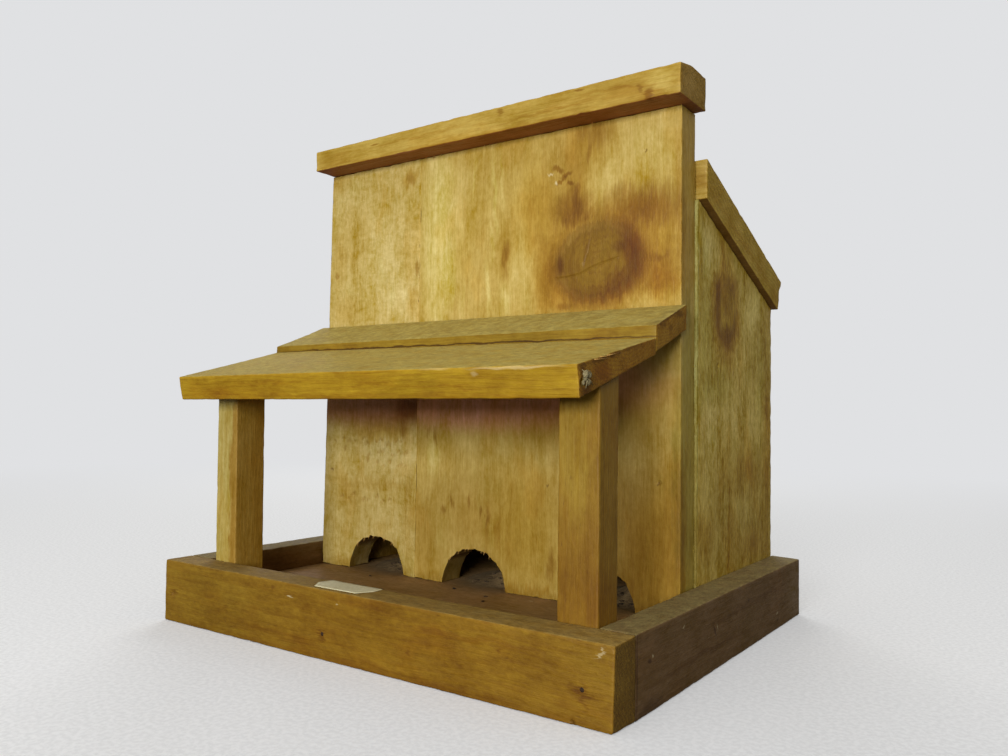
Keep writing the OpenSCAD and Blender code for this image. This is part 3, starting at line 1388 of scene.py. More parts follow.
WIDE_WALL = WoodFinish("wall_wood", tone(181, 152, 70), ring_gap=3.4, ring_show=0.2, fuzz=0.9, grainy=0.75)
NARROW_WALL = replace(WIDE_WALL, mean=tone(190, 165, 88), fuzz=1.1, sawn=0.28, ring_show=0.08, ripple=0.65)
SIDE_WALL = replace(WIDE_WALL, mean=tone(190, 162, 68), fuzz=1.4, grainy=1.2, sawn=0.2)
LEFT_POST = replace(WIDE_WALL, mean=tone(173, 153, 79), ring_gap=2.2, ring_show=0.25, grainy=0.7)
RIGHT_POST = replace(WIDE_WALL, mean=tone(134, 101, 24), ring_gap=2.0, ring_show=0.3, grainy=0.7)
LOWER_PORCH = WoodFinish(
    "porch_wood", tone(161, 126, 18), ring_gap=1.9, ring_show=0.45, fuzz=0.5, end=(0.80, 0.66, 1.2),
    dust=tone(172, 154, 80), dust_show=0.9,
)
UPPER_PORCH = replace(LOWER_PORCH, mean=tone(138, 110, 22), end=(1.20, 0.98, 1.1))
CAP = WoodFinish(
    "cap_wood", tone(177, 147, 60), ring_gap=2.4, ring_show=0.35, grainy=0.8, underside_shade=(0.66, 0.37, 0.70),
    end=(0.76, 0.69, 0.73), dust=tone(150, 134, 82), dust_show=0.6,
)
ROOF = WoodFinish(
    "roof_wood", tone(170, 142, 62), ring_gap=2.8, ring_show=0.5, grainy=0.8, end=(1.14, 1.12, 0.84),
    underside_shade=(0.36, 0.27, 0.24), dust=tone(146, 132, 84), dust_show=0.7,
)
FRONT_RAIL = WoodFinish(
    "rail_wood", tone(128, 94, 15), ring_gap=2.1, ring_show=0.4, fuzz=1.1, fleck=0.6, grainy=0.85,
    end=(0.66, 0.68, 1.05), dust=tone(145, 118, 58), dust_show=0.9, sawn=0.12,
)
SIDE_RAIL = replace(FRONT_RAIL, mean=tone(101, 75, 38), dust=tone(138, 121, 71), end=(1.45, 1.75, 1.6))
FLOOR = WoodFinish(
    "floor_wood", tone(155, 118, 66), ring_gap=2.6, ring_show=0.35, fuzz=1.0, fleck=0.7,
    dust=tone(140, 112, 70), dust_show=0.5,
)

NAIL_IRON = SmallFinish(tone(66, 46, 30), tone(38, 24, 14), 1.2, 0.4, 0.7, 0.05, metal=0.2)
PAPER = SmallFinish(tone(222, 214, 176), tone(208, 198, 156), 9.0, 1.6, 0.75, 0.02)
SILK = SmallFinish(tone(164, 152, 112), tone(114, 100, 66), 1.1, 0.25, 0.95, 0.12)
SEED_DUST = SmallFinish(tone(137, 114, 76), tone(106, 84, 52), 6.0, 1.2, 0.98, 0.08)
HUSK = SmallFinish(tone(92, 74, 48), tone(42, 30, 20), 2.4, 0.6, 0.85, 0.06)
FIBRE = SmallFinish(tone(206, 164, 92), tone(170, 120, 52), 2.5, 0.6, 0.6, 0.04)


@dataclass
class Assembly:
    """A group of pieces that go together.

    Attributes:
        nodes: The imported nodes' objects by name.
        case: The box that every piece keeps inside, in metres.
        made: The pieces made so far.
    """

    nodes: dict[str, bpy.types.Object]
    case: tuple[Point, Point]
    made: list[bpy.types.Object] = field(default_factory=list)

    def place(self, name: str, mesh: bpy.types.Mesh, material: bpy.types.Material) -> bpy.types.Object:
        """Puts a piece into the scene, on the feeder's body.

        Args:
            name: The piece's name.
            mesh: Its mesh, in the model's frame.
            material: Its material.

        Returns:
            The piece.
        """
        mesh.materials.append(material)
        spots = np.empty(len(mesh.vertices) * 3)
        mesh.vertices.foreach_get("co", spots)
        mesh.vertices.foreach_set("co", np.clip(spots.reshape(-1, 3), *self.case).ravel())
        piece = bpy.data.objects.new(name, mesh)
        bpy.context.scene.collection.objects.link(piece)
        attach(piece, BODY)
        self.made.append(piece)
        LOG.info("%s: %d faces", name, len(mesh.polygons))
        return piece

    def board(self, blank: Blank, finish: WoodFinish, grain: Grain, heart: Spot, **look: object) -> None:
        """Cuts and dresses one board, which then stands for its node.

        Args:
            blank: The board.
            finish: Its finish.
            grain: Which way its grain runs.
            heart: Where the log's middle lies.
            **look: Its marks, knots and drift.
        """
        mesh = blank.build(self.nodes[blank.node])
        material = finish.dress(f"{blank.node}_wood", grain, heart, **look)
        piece = self.place(f"board_{blank.node}", mesh, material)
        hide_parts(blank.node)

    def small(self, name: str, shape: Shape, finish: SmallFinish) -> None:
        """Puts a small piece into the scene, from its bodies and its finish."""
        self.place(name, shape.mesh(name), finish.dress(f"{name}_finish"))

    def nails(self, name: str, spots: tuple[Point, ...], out: Point, radius: float = 1.7) -> None:
        """Drives a row of nails, whose heads stand a little proud.

        Args:
            name: The row's name.
            spots: Where they are, on the wood's face.
            out: Which way the face looks.
            radius: Radius of the heads.
        """
        shape = Shape()
        for k, spot in enumerate(spots):
            lean = (0.05 * math.sin(3.1 * k), 0.04 * math.cos(2.3 * k), 0.05 * math.sin(5.7 * k))
            tip = Vector(out) + Vector(lean)
            profile = ((-1.6, 0.3), (-1.5, 0.6), (-0.4, 0.7), (-0.25, radius * 0.94), (-0.02, radius))
            profile += ((0.16, radius * 0.95), (0.28, radius * 0.7), (0.32, radius * 0.3))
            shape.turned(spot, tuple(tip), profile, 0.06, k + 3)
        self.small(name, shape, NAIL_IRON)


@dataclass
class Tray(Assembly):
    """The shallow tray that carries the house: a floor board with a rail on three sides.

    Attributes:
        arris: Radius of the rails' eased edges.
        front: The front rail's outer face.
        right: The right rail's outer face.
        floor: The floor board's upper face.
    """

    arris: float = 0.9
    front: Sheet = Sheet(Face.FRONT, -133.0)
    right: Sheet = Sheet(Face.SIDE, 159.0)
    floor: Sheet = Sheet(Face.TOP, 22.0, 5.0)

    def build(self) -> None:
        """Makes the floor, the three rails and what lies on them."""
        self.floor_board()
        self.front_board()
        self.side_boards()
        self.paper()
        self.nails("nails_front_rail", ((-16.3, -132.8, 14.0), (142.8, -132.8, 16.0)), (0, -1, 0), 1.1)
        self.nails("nails_left_rail", ((-158.8, -60.0, 12.0), (-158.8, 92.0, 11.0)), (-1, 0, 0), 1.2)

    def floor_board(self) -> None:
        """Makes the floor board."""
        s = self.floor
        marks = (
            *s.dots(((-8, -23), (9, -9), (21, -32), (19, -45), (-23, 6)), 1.5, Tint.SOOT),
            s.mark((-21, 17), (9, 7), Tint.CHALK, 0.5),
            *(s.mark((x + 2, 14), (32, 34), Tint.FILM, 0.9, edge=0.5, cover=True) for x in ARCHES),
            *s.each(Tint.SHADE, (0, -110, 150, 6, 0.8), (-138, -40, 5, 90, 0.8)),
            s.mark((48, -28), (1.4, 1.0), Tint.GLINT, 0.9, cover=True, fray=Fray.LIGHT),
        )
        blank = Blank("tray_floor", Face.TOP, 0.5, 5.0, seed=11)
        self.board(blank, FLOOR, Grain.ALONG_X_FLAT, (40.0, -60.0), marks=marks)

    def front_board(self) -> None:
        """Makes the front rail."""
        s = self.front
        marks = (
            s.mark((-110, 16), (52, 30), Tint.OLIVE, 0.7, edge=0.8),
            s.mark((-90, 23), (16, 10), Tint.CHALK, 0.45),
            s.mark((60, 20), (90, 26), Tint.GOLD, 0.5, edge=0.9),
            *s.each(
                Tint.BROWN, (-150, 17.5, 3.5, 2.5, 0.6), (-16.3, 12, 2.6, 5, 0.7), (142.8, 14, 2.8, 5, 0.7),
            ),
            *s.dots(((139, 1),), 1.5, Tint.SOOT),
            *s.each(
                Tint.GLINT,
                (-41.5, 31.2, 1.3, 0.9, 0.5), (-6.2, 29.8, 1.4, 0.6, 0.3), (152, 33, 1.0, 3.0, 0.3),
                cover=True,
            ),
            *s.dots(((44.6, 14.5), (99, 25), (-57, 33.5)), 1.4, Tint.BROWN, 0.6),
            s.mark((20, 1), (170, 3.5), Tint.TAN, 0.8, edge=0.8),
            *s.each(Tint.TAN, (-60, 9, 60, 2.2, 0.6), (80, 28, 44, 1.6, 0.7, -1.5)),
        )
        blank = Blank(
            "front_rail", Face.FRONT, self.arris, 3.4, seed=21,
            pulls=(Pull((1, -1, -1), (-1.4, 0, 0)), Pull((1, -1, 1), (-0.5, 0, -0.9))),
            near=(Pit((-150.0, 17.5), 1.6, 0.7), Pit((139.0, 1.6), 0.9, 0.6)),
        )
        self.board(blank, FRONT_RAIL, Grain.ALONG_X, (70.0, -30.0), marks=marks, drift=310.0)

    def side_boards(self) -> None:
        """Makes the left and right rails."""
        inner = Sheet(Face.SIDE, -140.0)
        blank = Blank("left_rail", Face.SIDE, self.arris, 4.0, seed=31)
        # Darkens the left rail's inner face: painted shade with grime.
        dim = (inner.mark((-30, 18), (110, 17), Tint.RED, 0.5),)
        self.board(blank, SIDE_RAIL, Grain.ALONG_Y, (60.0, 30.0), marks=dim, drift=520.0)
        s = self.right
        marks = (
            *s.dots(((-121.5, 27.5), (-125, 17), (31, 27), (86, 6.3), (118, 7)), 1.3, Tint.SOOT),
            s.mark((-100, 23.5), (2.2, 1.2), Tint.SOOT, 0.8, fray=Fray.LIGHT),
            s.mark((-21.5, 21), (3.6, 1.0), Tint.SOOT, 0.8, turn=-60, fray=Fray.LIGHT),
            *s.each(Tint.PALE, (118, 20, 18, 24, 0.9), (124, 20, 14, 24, 1.0)),
            s.mark((-113.6, 19), (1.4, 30), Tint.SHADE, 0.9, edge=0.3, fray=Fray.CLEAN),
            s.mark((-100, 2), (16, 5), Tint.SOOT, 0.5),
            *s.each(
                Tint.GLINT,
                (-122, 27.5, 0.8, 0.8, 0.3), (-97, 25, 0.8, 0.8, 0.35), (-62, 31, 0.7, 0.7, 0.3),
                (-18, 22, 0.6, 2.0, 0.25), (84, 10, 1.8, 0.9, 0.3), cover=True, fray=Fray.LIGHT,
            ),
            *s.each(Tint.BROWN, (-40, 12, 60, 2.0, 0.45), (40, 25, 70, 1.8, 0.4)),
        )
        blank = Blank(
            "right_rail", Face.SIDE, self.arris, 3.4, seed=41, pulls=(Pull((1, 1, 1), (0, 0, -0.7)),),
            chips=(Chip((159, 20, 38), 3.0, 0.6), Chip((159, 84, 38), 2.2, 0.5)),
        )
        self.board(blank, SIDE_RAIL, Grain.ALONG_Y, (-50.0, 30.0), marks=marks, drift=770.0)

    def paper(self) -> None:
        """Lays the blank scrap of paper that sticks to the front rail."""
        corners = ((-29.5, -124), (-25, -131), (5, -130.5), (10, -122), (10, -114.2), (-28, -114.2))

        def height(spots: np.ndarray) -> np.ndarray:
            """How high the paper lies, with its left end lifted a little."""
            places = np.column_stack([spots, np.zeros(len(spots))])
            curl = np.clip((-18.0 - spots[:, 0]) / 12.0, 0, 1) ** 2
            return 0.10 + 0.14 * lumps(places, (9.0, 5.0, 9.0), 7) + 0.4 * curl

        shape = Shape()
        shape.bed(np.array(corners, float), 1.5, 37.9, height)
        self.small("paper_scrap", shape, PAPER)


@dataclass
class House(Assembly):
    """The seed store: the false front in two boards, its side and back walls, and its roof and cap.

    Attributes:
        front: The false front's outer face.
        side: The right wall's outer face.
        arches: Where the middles of the arches lie, along X.
        arch_level: How high their centres lie.
        arch_radius: Their radius.
        ragged: How deep the saw tore their edges.
        fall: How steeply the roof board falls to the back, in degrees.
    """

    front: Sheet = Sheet(Face.FRONT, -19.0)
    side: Sheet = Sheet(Face.SIDE, 140.0)
    arches: tuple[float, float, float] = ARCHES
    arch_level: float = 20.5
    arch_radius: float = 25.0
    ragged: float = 1.7
    fall: float = 20.5

    def build(self) -> None:
        """Makes the walls, the roof board, the cap strip and what gathers round them."""
        self.narrow_board()
        self.wide_board()
        self.side_walls()
        self.cap()
        self.roof()
        self.seed_heaps()
        self.tufts()

    def reveals(self) -> tuple[Mark, ...]:
        """The insides of the arches darkened: painted shade with dust on their sides, and brown round each
        opening.
        """
        marks, level, out = [], self.arch_level, self.arch_radius + 6.0
        for middle in self.arches:
            look = {"edge": 0.1, "fray": Fray.CLEAN, "sides_only": True}
            marks.append(Mark((middle, 4.0, level), (out, 60.0, out), Tint.SHADE, 0.95, **look))
            marks.append(Mark((middle + 5, -22, level), (23.5, 10.0, 28.3), Tint.BROWN, 0.5, edge=0.25))
        return tuple(marks)

    def chatter(self) -> tuple[tuple[Mark, ...], tuple[Pit, ...]]:
        """The rows of small dents that the planer left on the narrow board."""
        marks, pits = [], []
        look = {"turn": -25.0, "edge": 0.7, "fray": Fray.LIGHT}
        rows = ((112, -127, -64, 11), (104.5, -94, -60, 6), (97, -88, -60, 5), (72, -121, -74, 8))
        for height, first, last, count in rows:
            for k in range(count):
                x = first + (last - first) * k / (count - 1) + 1.6 * math.sin(3.7 * k + height)
                z = height + 1.8 * math.sin(2.3 * k + height)
                size = (2.2 + math.sin(1.9 * k + height), 1.3 + 0.4 * math.sin(4.1 * k))
                marks.append(self.front.mark((x, z), size, Tint.BROWN, 0.42, **look))
                pits.append(Pit((x + 0.5, z - 0.4), 1.5, 0.45))
        return tuple(marks), tuple(pits)

    def narrow_board(self) -> None:
        """Makes the narrow board at the left of the false front."""
        s = self.front
        dents, pits = self.chatter()
        marks = (
            s.mark((-95, 58), (64, 58), Tint.DARKER_LOW, 0.5, edge=0.3),
            # Painted shadow of the porch across the narrow board.
            s.mark((-95, 150), (120, 29), Tint.PORCH_SHADOW_NARROW, 1.0, edge=0.35, fray=Fray.LIGHT),
            # The first pale mark, at (-78, 106), is a painted sheen on the lower narrow board.
            *s.each(Tint.PALE, (-78, 106, 30, 13, 0.5), (-88, 236, 18, 40, 0.4), (-70, 212, 12, 22, 0.4)),
            # Among these, (-86, 118) and (-84, 124) paint the soft lower edge of the porch's shadow, and
            # (-95, 25) darkens the wall's foot: painted shade with dirt.
            *s.each(
                Tint.TAN, (-112, 258, 20, 30, 0.3), (-128, 240, 8, 20, 0.5), (-120, 205, 16, 12, 0.5),
                (-130, 300, 12, 9, 0.6), (-60, 293, 10, 6, 0.9, -32), (-57, 208, 4, 11, 0.8),
                (-86, 118, 34, 7, 0.9), (-84, 124, 34, 7, 0.5), (-90, 82, 36, 5, 0.5),
                (-112, 72, 14, 10, 0.5), (-95, 25, 48, 5, 0.9), (-57, 60, 5, 40, 0.5),
            ),
            *s.each(
                Tint.BROWN, (-60, 292, 3.5, 5, 0.5, -30), (-130, 231, 2.2, 3, 0.6), (-53, 230, 2, 6, 0.6),
                (-58, 134, 13, 9, 0.85), (-63, 120, 3, 7, 0.6), (-96, 100, 1.6, 2.6, 0.6),
                (-118, 107, 2, 2.6, 0.5), fray=Fray.LIGHT,
            ),
            *s.dots(((-131, 90),), 1.2, Tint.SOOT),
            *dents,
            *self.reveals(),
        )
        pulls = (
            Pull((-1, 0, 1), (2.3, 0, 0)), Pull((-1, 0, -1), (-0.7, 0, 0)), Pull((1, 0, 0), (0.35, 0, 0)),
        )
        blank = Blank(
            "front_wall_narrow_board", Face.FRONT, 0.2, 3.0, seed=51, pulls=pulls,
            near=(Pit((-131.0, 90.0), 1.3, 1.0), Pit((-130.0, 230.0), 1.1, 0.5), *pits),
            chips=(Chip((-51, -19, 209), 2.2, 0.9), Chip((-51, -19, 229), 3.0, 0.9)), ragged=self.ragged,
        )
        self.board(blank, NARROW_WALL, Grain.UP, (-160.0, 70.0), marks=marks, drift=150.0)

    def wide_board(self) -> None:
        """Makes the wide board, with its large knot."""
        s, end = self.front, Sheet(Face.SIDE, 138.5)
        marks = (
            s.mark((50, 58), (125, 58), Tint.DARKER_LOW, 0.75, edge=0.3),
            # Painted shadow of the porch across the wide board, with its reddish bounce light.
            s.mark((-5, 150), (130, 29), Tint.PORCH_SHADOW, 1.0, edge=0.35, fray=Fray.LIGHT),
            s.mark((137, 52), (44, 66), Tint.DARKER_LOW_RIGHT, 0.9, edge=0.5),
            end.mark((-9, 95), (14, 110), Tint.FOOT, 0.9, edge=0.3),
            end.mark((-9, 260), (14, 60), Tint.TAN, 0.6, edge=0.3),
            *s.each(
                Tint.SAP, (-36, 250, 14, 82, 1.0), (-24, 222, 8, 22, 0.5), (-36, 104, 6, 14, 0.9),
                (11, 275, 2.0, 30, 0.8, -4), (9, 243, 1.8, 16, 0.6, -4), (6.5, 214, 2.4, 20, 0.9, -5),
                (21, 203, 4, 12, 0.7), (16, 282, 1.3, 22, 0.6, -5), (-6, 285, 1.5, 18, 0.5),
                (-14, 205, 1.6, 14, 0.4), edge=0.8,
            ),
            *s.each(
                Tint.PALE, (-20, 270, 16, 36, 0.5), (-28, 250, 22, 80, 0.5), (31, 220, 14, 26, 0.9),
                (118, 284, 28, 20, 0.9), (88, 274, 12, 22, 0.7), (121, 233, 14, 9, 0.8),
                (110, 198, 28, 4, 0.9), (30, 106, 40, 12, 0.6), (124, 84, 14, 28, 0.6),
                (88, 246.5, 16, 1.3, 0.7, 3), edge=0.9,
            ),
            *s.each(
                Tint.GOLD, (-16, 236, 11, 26, 0.4), (-24, 286, 8, 14, 0.3), (36, 66, 28, 44, 0.9),
                (130, 204, 12, 14, 0.8), (40, 262, 16, 36, 0.7), edge=0.9,
            ),
            # Among these, (110, 134) and (46, 126) are painted shade under the porch.
            *s.each(
                Tint.TAN, (50, 256, 14, 32, 0.8), (50, 213, 11, 24, 0.9), (76, 290, 22, 18, 0.9),
                (70, 266, 12, 20, 0.8), (20, 231, 6, 20, 0.7), (122, 248, 18, 12, 0.7),
                (128, 226, 16, 36, 1.0), (110, 134, 14, 20, 0.8), (46, 126, 18, 14, 0.7),
                (126, 208, 14, 11, 0.8), (-4, 66, 18, 20, 0.5), (9, 62, 2, 18, 0.7),
                (18, 60, 1.8, 15, 0.7), (28, 50, 6, 12, 0.5), (40, 24, 105, 4, 0.9),
                (-42, 40, 10, 30, 0.5), (114, 63, 12, 16, 0.2), edge=0.9,
            ),
            *s.each(
                Tint.BROWN, (20.5, 229, 2.8, 11, 0.9), (86, 300, 10, 10, 0.6), (68, 256, 15, 11, 0.8),
                (72, 250, 12, 6, 0.6), (112, 252, 27, 12, 0.95), (100, 262, 8, 5, 0.3),
                (124, 222, 8, 3, 0.6, 8), (75, 302, 5, 7, 0.6), (80, 289, 2, 8, 0.6),
                (70, 262, 3, 12, 0.7, -18), (-34, 117, 2, 6, 0.7), (-42, 119, 1.5, 5, 0.6),
                (-20, 75, 2.4, 6, 0.75), (-27, 70, 3, 4, 0.7), (-5, 75, 1.4, 5, 0.7),
                (3, 71, 1.4, 4, 0.7), (8, 67, 1.4, 5, 0.6), (56, 42, 2.4, 11, 0.7), edge=0.8,
            ),
            *s.each(
                Tint.BROWN, (60.5, 222, 2.4, 7, 0.9), (100, 230, 5, 4, 0.6), (63, 197, 6, 2.6, 0.6),
                (58, 281, 5, 2.0, 0.9, 25), (64, 277, 5, 1.5, 0.9, -20), (61, 273.5, 5.5, 1.4, 0.9, -35),
                (67, 271, 3, 1.6, 0.9), (72, 268, 2.0, 4, 0.6), (78, 229, 1.2, 8, 0.5, 14), fray=Fray.LIGHT,
            ),
            *s.each(
                Tint.RED, (107, 229, 7, 17, 0.9, -12), (100, 210, 14, 7, 0.6, -35), (80, 204, 20, 6, 0.3),
                edge=0.9,
            ),
            *s.each(
                Tint.GLINT, (57, 272, 1.0, 1.2, 0.6), (53, 279, 2.2, 0.8, 0.5), cover=True, fray=Fray.LIGHT
            ),
            *s.dots(((116, 283), (125.6, 95.7), (53, 90)), 1.0, Tint.SOOT),
            *self.reveals(),
        )
        knots = (s.knot((86, 222), (29.5, 24), turn=-4.0),)
        cuts = (
            Crack(((58.7, 214.5), (66, 214.8), (74, 216), (81, 219), (87, 221), (99, 223.5)), 0.55, 0.8),
            Crack(((81, 235), (79.5, 228), (77, 222)), 0.45, 0.6),
            Pit((125.6, 95.7), 1.3, 1.0),
            Pit((116.0, 283.0), 0.9, 0.5),
        )
        blank = Blank(
            "front_wall_wide_board", Face.FRONT, 0.2, 3.0, seed=61, pulls=(Pull((1, 0, 1), (-0.4, 0, 0)),),
            near=cuts, ragged=self.ragged,
        )
        self.board(blank, WIDE_WALL, Grain.UP, (60.0, -90.0), marks=marks, knots=knots, drift=910.0)

    def side_walls(self) -> None:
        """Makes the side walls and the back wall."""
        blank = Blank("left_wall", Face.SIDE, 0.6, 5.0, seed=71)
        left = Sheet(Face.SIDE, -140.0)
        marks = (
            left.mark((96, 88), (8, 14), Tint.TAN, 0.6),
            left.mark((64, 60), (80, 46), Tint.DARKER_LOW, 0.8),
            # Darkens the left wall's inner face, inside the house.
            *Sheet(Face.SIDE, -121.0).each(Tint.SOOT, (60, 60, 90, 80, 0.9), edge=0.2, fray=Fray.CLEAN),
        )
        knots = (left.knot((38, 118), (11, 14), lean=(0.0, 0.8, -0.5)),)
        self.board(blank, SIDE_WALL, Grain.UP_SIDE, (60.0, 60.0), marks=marks, knots=knots, drift=40.0)
        s, joint = self.side, Sheet(Face.FRONT, 0.0, 1.6)
        marks = (
            s.mark((66, 52), (95, 56), Tint.DARKER_LOW, 0.9, edge=0.7),
            joint.mark((138, 150), (6.0, 190), Tint.DULL, 1.0, edge=0.1, fray=Fray.CLEAN),
            *s.each(
                Tint.OLIVE, (12, 180, 14, 40, 0.9), (30, 150, 24, 12, 0.9), (110, 170, 20, 24, 0.6),
                edge=0.9,
            ),
            *s.each(
                Tint.CHALK, (22, 125, 18, 26, 0.8), (65, 128, 30, 10, 0.6), (12, 232, 12, 14, 0.8),
                edge=0.9,
            ),
            joint.mark((138, 60), (6, 76), Tint.TAN, 0.8, fray=Fray.CLEAN),
            *s.each(
                Tint.PALE, (24, 222, 16, 14, 0.7), (78, 198, 20, 16, 0.6), (104, 204, 16, 10, 0.6),
                (50, 152, 8, 8, 0.6), edge=0.9,
            ),
            *s.each(
                Tint.TAN, (122, 110, 9, 110, 0.7), (46, 232, 16, 8, 0.8), (48, 168, 16, 14, 0.7),
                (84, 96, 40, 15, 0.9), (94, 50, 28, 14, 0.9), (12, 66, 16, 16, 0.9), (66, 25, 80, 5, 0.9),
                (124, 140, 6, 9, 0.8), edge=0.9,
            ),
            *s.each(
                Tint.BROWN, (33, 198, 5, 17, 0.75), (58, 212, 12, 6, 0.6, 20), (46, 183, 14, 5, 0.75),
                (46, 200, 10, 6, 0.4), (30, 210, 5, 8, 0.6), (84, 100, 10, 8, 0.35), (96, 52, 14, 7, 0.35),
                edge=0.9,
            ),
            *s.dots(((32, 163),), 1.4, Tint.SOOT),
        )
        tints = {"core": (0.78, 0.68, 0.30), "rim": (0.62, 0.48, 0.14)}
        knots = (s.knot((46, 197), (17, 20), show=(0.6, 0.9), **tints),)
        pits = (Pit((32.0, 163.0), 1.0, 0.5),)
        blank = Blank("right_wall", Face.SIDE, 1.0, 3.4, wear=0.6, seed=81, far=pits)
        self.board(blank, SIDE_WALL, Grain.UP_SIDE, (50.0, -60.0), marks=marks, knots=knots)
        back = Sheet(Face.FRONT, 133.0)
        marks = (
            back.mark((0, 50), (150, 44), Tint.DARKER_LOW, 0.9),
            back.mark((-80, 150), (16, 44), Tint.SAP, 0.6),
            back.mark((95, 120), (14, 30), Tint.TAN, 0.6),
        )
        knots = (back.knot((28, 138), (13, 16)), back.knot((-64, 72), (8, 9), lean=(-0.6, 0.0, 0.5)))
        blank = Blank("back_wall", Face.SIDE, 0.6, 5.0, seed=91)
        self.board(blank, WIDE_WALL, Grain.UP, (10.0, 180.0), marks=marks, knots=knots, drift=640.0)

    def cap(self) -> None:
        """Makes the cap strip and its nails."""
        s = Sheet(Face.FRONT, -36.0)
        marks = (
            s.mark((26.5, 317.5), (2.6, 2.6), Tint.BROWN, 0.7, fray=Fray.LIGHT),
            *s.each(
                Tint.BROWN, (126, 308, 2.6, 4.5, 0.9, 20), (121, 312, 1.6, 3.5, 0.6, -30),
                (-79, 315, 3.5, 0.8, 0.8), (82, 319.5, 3.5, 0.8, 0.8), fray=Fray.LIGHT,
            ),
            *s.each(
                Tint.TAN, (112, 312, 16, 5, 0.7), (128, 307.5, 10, 3, 0.9), (100, 315, 26, 1.0, 0.6, 2),
                (-118, 311, 20, 7, 0.5), (0, 306, 150, 1.6, 0.6), (60, 311, 40, 1.2, 0.7, -2),
                (-40, 314, 50, 1.0, 0.6, -1),
            ),
            *s.each(Tint.PALE, (132, 316, 8, 4.5, 0.9), (138, 311, 5, 3, 0.5)),
            s.mark((90, 312), (50, 12), Tint.TAN, 0.4, edge=0.9),
        )
        torn = ((-55, 3, 0.9), (82, 3, 1.0), (132, 4, 1.2), (-12, 2, 0.6))
        chips = tuple(Chip((x, -36, 305), radius, depth) for x, radius, depth in torn)
        pulls = (
            Pull((-1, -1, 1), (0, 0, -2.2)), Pull((1, -1, 1), (0, 0, 1.2)), Pull((1, 0, 0), (1.1, 0, 0)),
        )
        blank = Blank("cap_strip", Face.SIDE, 0.8, 3.2, wear=0.55, seed=101, chips=chips, pulls=pulls)
        self.board(blank, CAP, Grain.ALONG_X, (360.0, 10.0), marks=marks)
        heads = tuple((x, y, 324.1) for x, y in ((-112.0, -10.0), (4.0, -9.0), (121.0, -11.0)))
        self.nails("nails_cap", heads, (0, 0, 1), 1.4)

    def roof(self) -> None:
        """Makes the roof board and its nails."""
        top, front = Sheet(Face.TOP, 250.0, 60.0), Sheet(Face.FRONT, 2.0, 1.2)
        clean = {"edge": 0.2, "fray": Fray.CLEAN}
        marks = (
            top.mark((-70, 60), (9, 30), Tint.BROWN, 0.5, turn=90.0),
            *top.each(Tint.TAN, (60, 90, 50, 6, 0.6), (-30, 30, 60, 5, 0.5)),
            Mark((144, 72, 238), (8, 90, 2.4), Tint.TAN, 0.6, turn=-self.fall, about=0),
            Mark((144, 130, 212), (8, 12, 12), Tint.TAN, 0.5, about=0),
            *(front.mark((0, 268), (150, 16), Tint.TAN, show, **clean) for show in (1.0, 0.6)),
        )
        torn = ((60, 234, 3.0, 0.7), (100, 220, 2.5, 0.6), (138, 220, 4.0, 0.9))
        chips = tuple(Chip((144, y, z), radius, depth) for y, z, radius, depth in torn)
        pulls = (Pull((1, -1, 0), (0.6, 0, 0)),)
        blank = Blank("roof_board", Face.SIDE, 0.8, 4.0, wear=0.5, seed=111, chips=chips, pulls=pulls)
        knots = (top.knot((52, 62), (12, 9)),)
        self.board(blank, ROOF, Grain.ALONG_X_FLAT, (212.0, 615.0), marks=marks, knots=knots)
        fall, ridge = math.radians(self.fall), 279.6
        places = itertools.product((-130.5, 130.5), (22.0, 112.0))
        spots = tuple((x, y, ridge - (y - 2.0) * math.tan(fall)) for x, y in places)
        self.nails("nails_roof", spots, (0, math.sin(fall), math.cos(fall)))

    def seed_heaps(self) -> None:
        """Heaps old seed dust and husks behind the arches."""
        dust, husks = Shape(), Shape()
        for number, middle in enumerate(self.arches):
            edge = np.array([middle + 2, 22]) + circle(40) * (30, 36)

            def height(spots: np.ndarray, middle: float = middle, number: int = number) -> np.ndarray:
                """How high the dust lies above the floor."""
                places = np.column_stack([spots, np.zeros(len(spots))])
                gap = np.hypot((spots[:, 0] - middle - 2) / 30, (spots[:, 1] - 22) / 36)
                ridge = np.exp(-(((spots[:, 0] - middle - 14) / 13) ** 2))
                ridge *= np.clip((spots[:, 1] + 8) / 24, 0, 1)
                body = np.clip(1.05 - gap, 0, 1)
                return -0.25 + body * (3.0 + 11.0 * ridge) * (0.7 + 0.6 * lumps(places, 6.0, 201 + number))

            dust.bed(edge, 2.0, 21.7, height)
            spread = np.array([(k + 0.5, number * 7.0, 3.0) for k in range(9)])
            rolls = [lumps(spread, 0.61, 301 + j) for j in range(5)]
            for k in range(9):
                spot = np.array([[middle + 6 + 44 * (rolls[0][k] - 0.5), 4 + 44 * (rolls[1][k] - 0.5)]])
                rise = 22.1 + max(float(height(spot)[0]), 0.0)
                size = (1.5 + 1.0 * rolls[2][k], 0.8 + 0.3 * rolls[3][k], 0.5 + 0.2 * rolls[3][k])
                husks.husk((*spot[0], rise), size, 360 * rolls[4][k], 24 * (rolls[2][k] - 0.5), 11 + k)
        for k, (x, y) in enumerate(((-8, -30), (21, -36), (27, -47), (-78, -33))):
            husks.husk((x, y, 22.4), (1.5 + 0.15 * k, 0.8, 0.4), 50.0 * k, 4.0, 31 + k)
        self.small("seed_dust", dust, SEED_DUST)
        self.small("seed_husks", husks, HUSK)

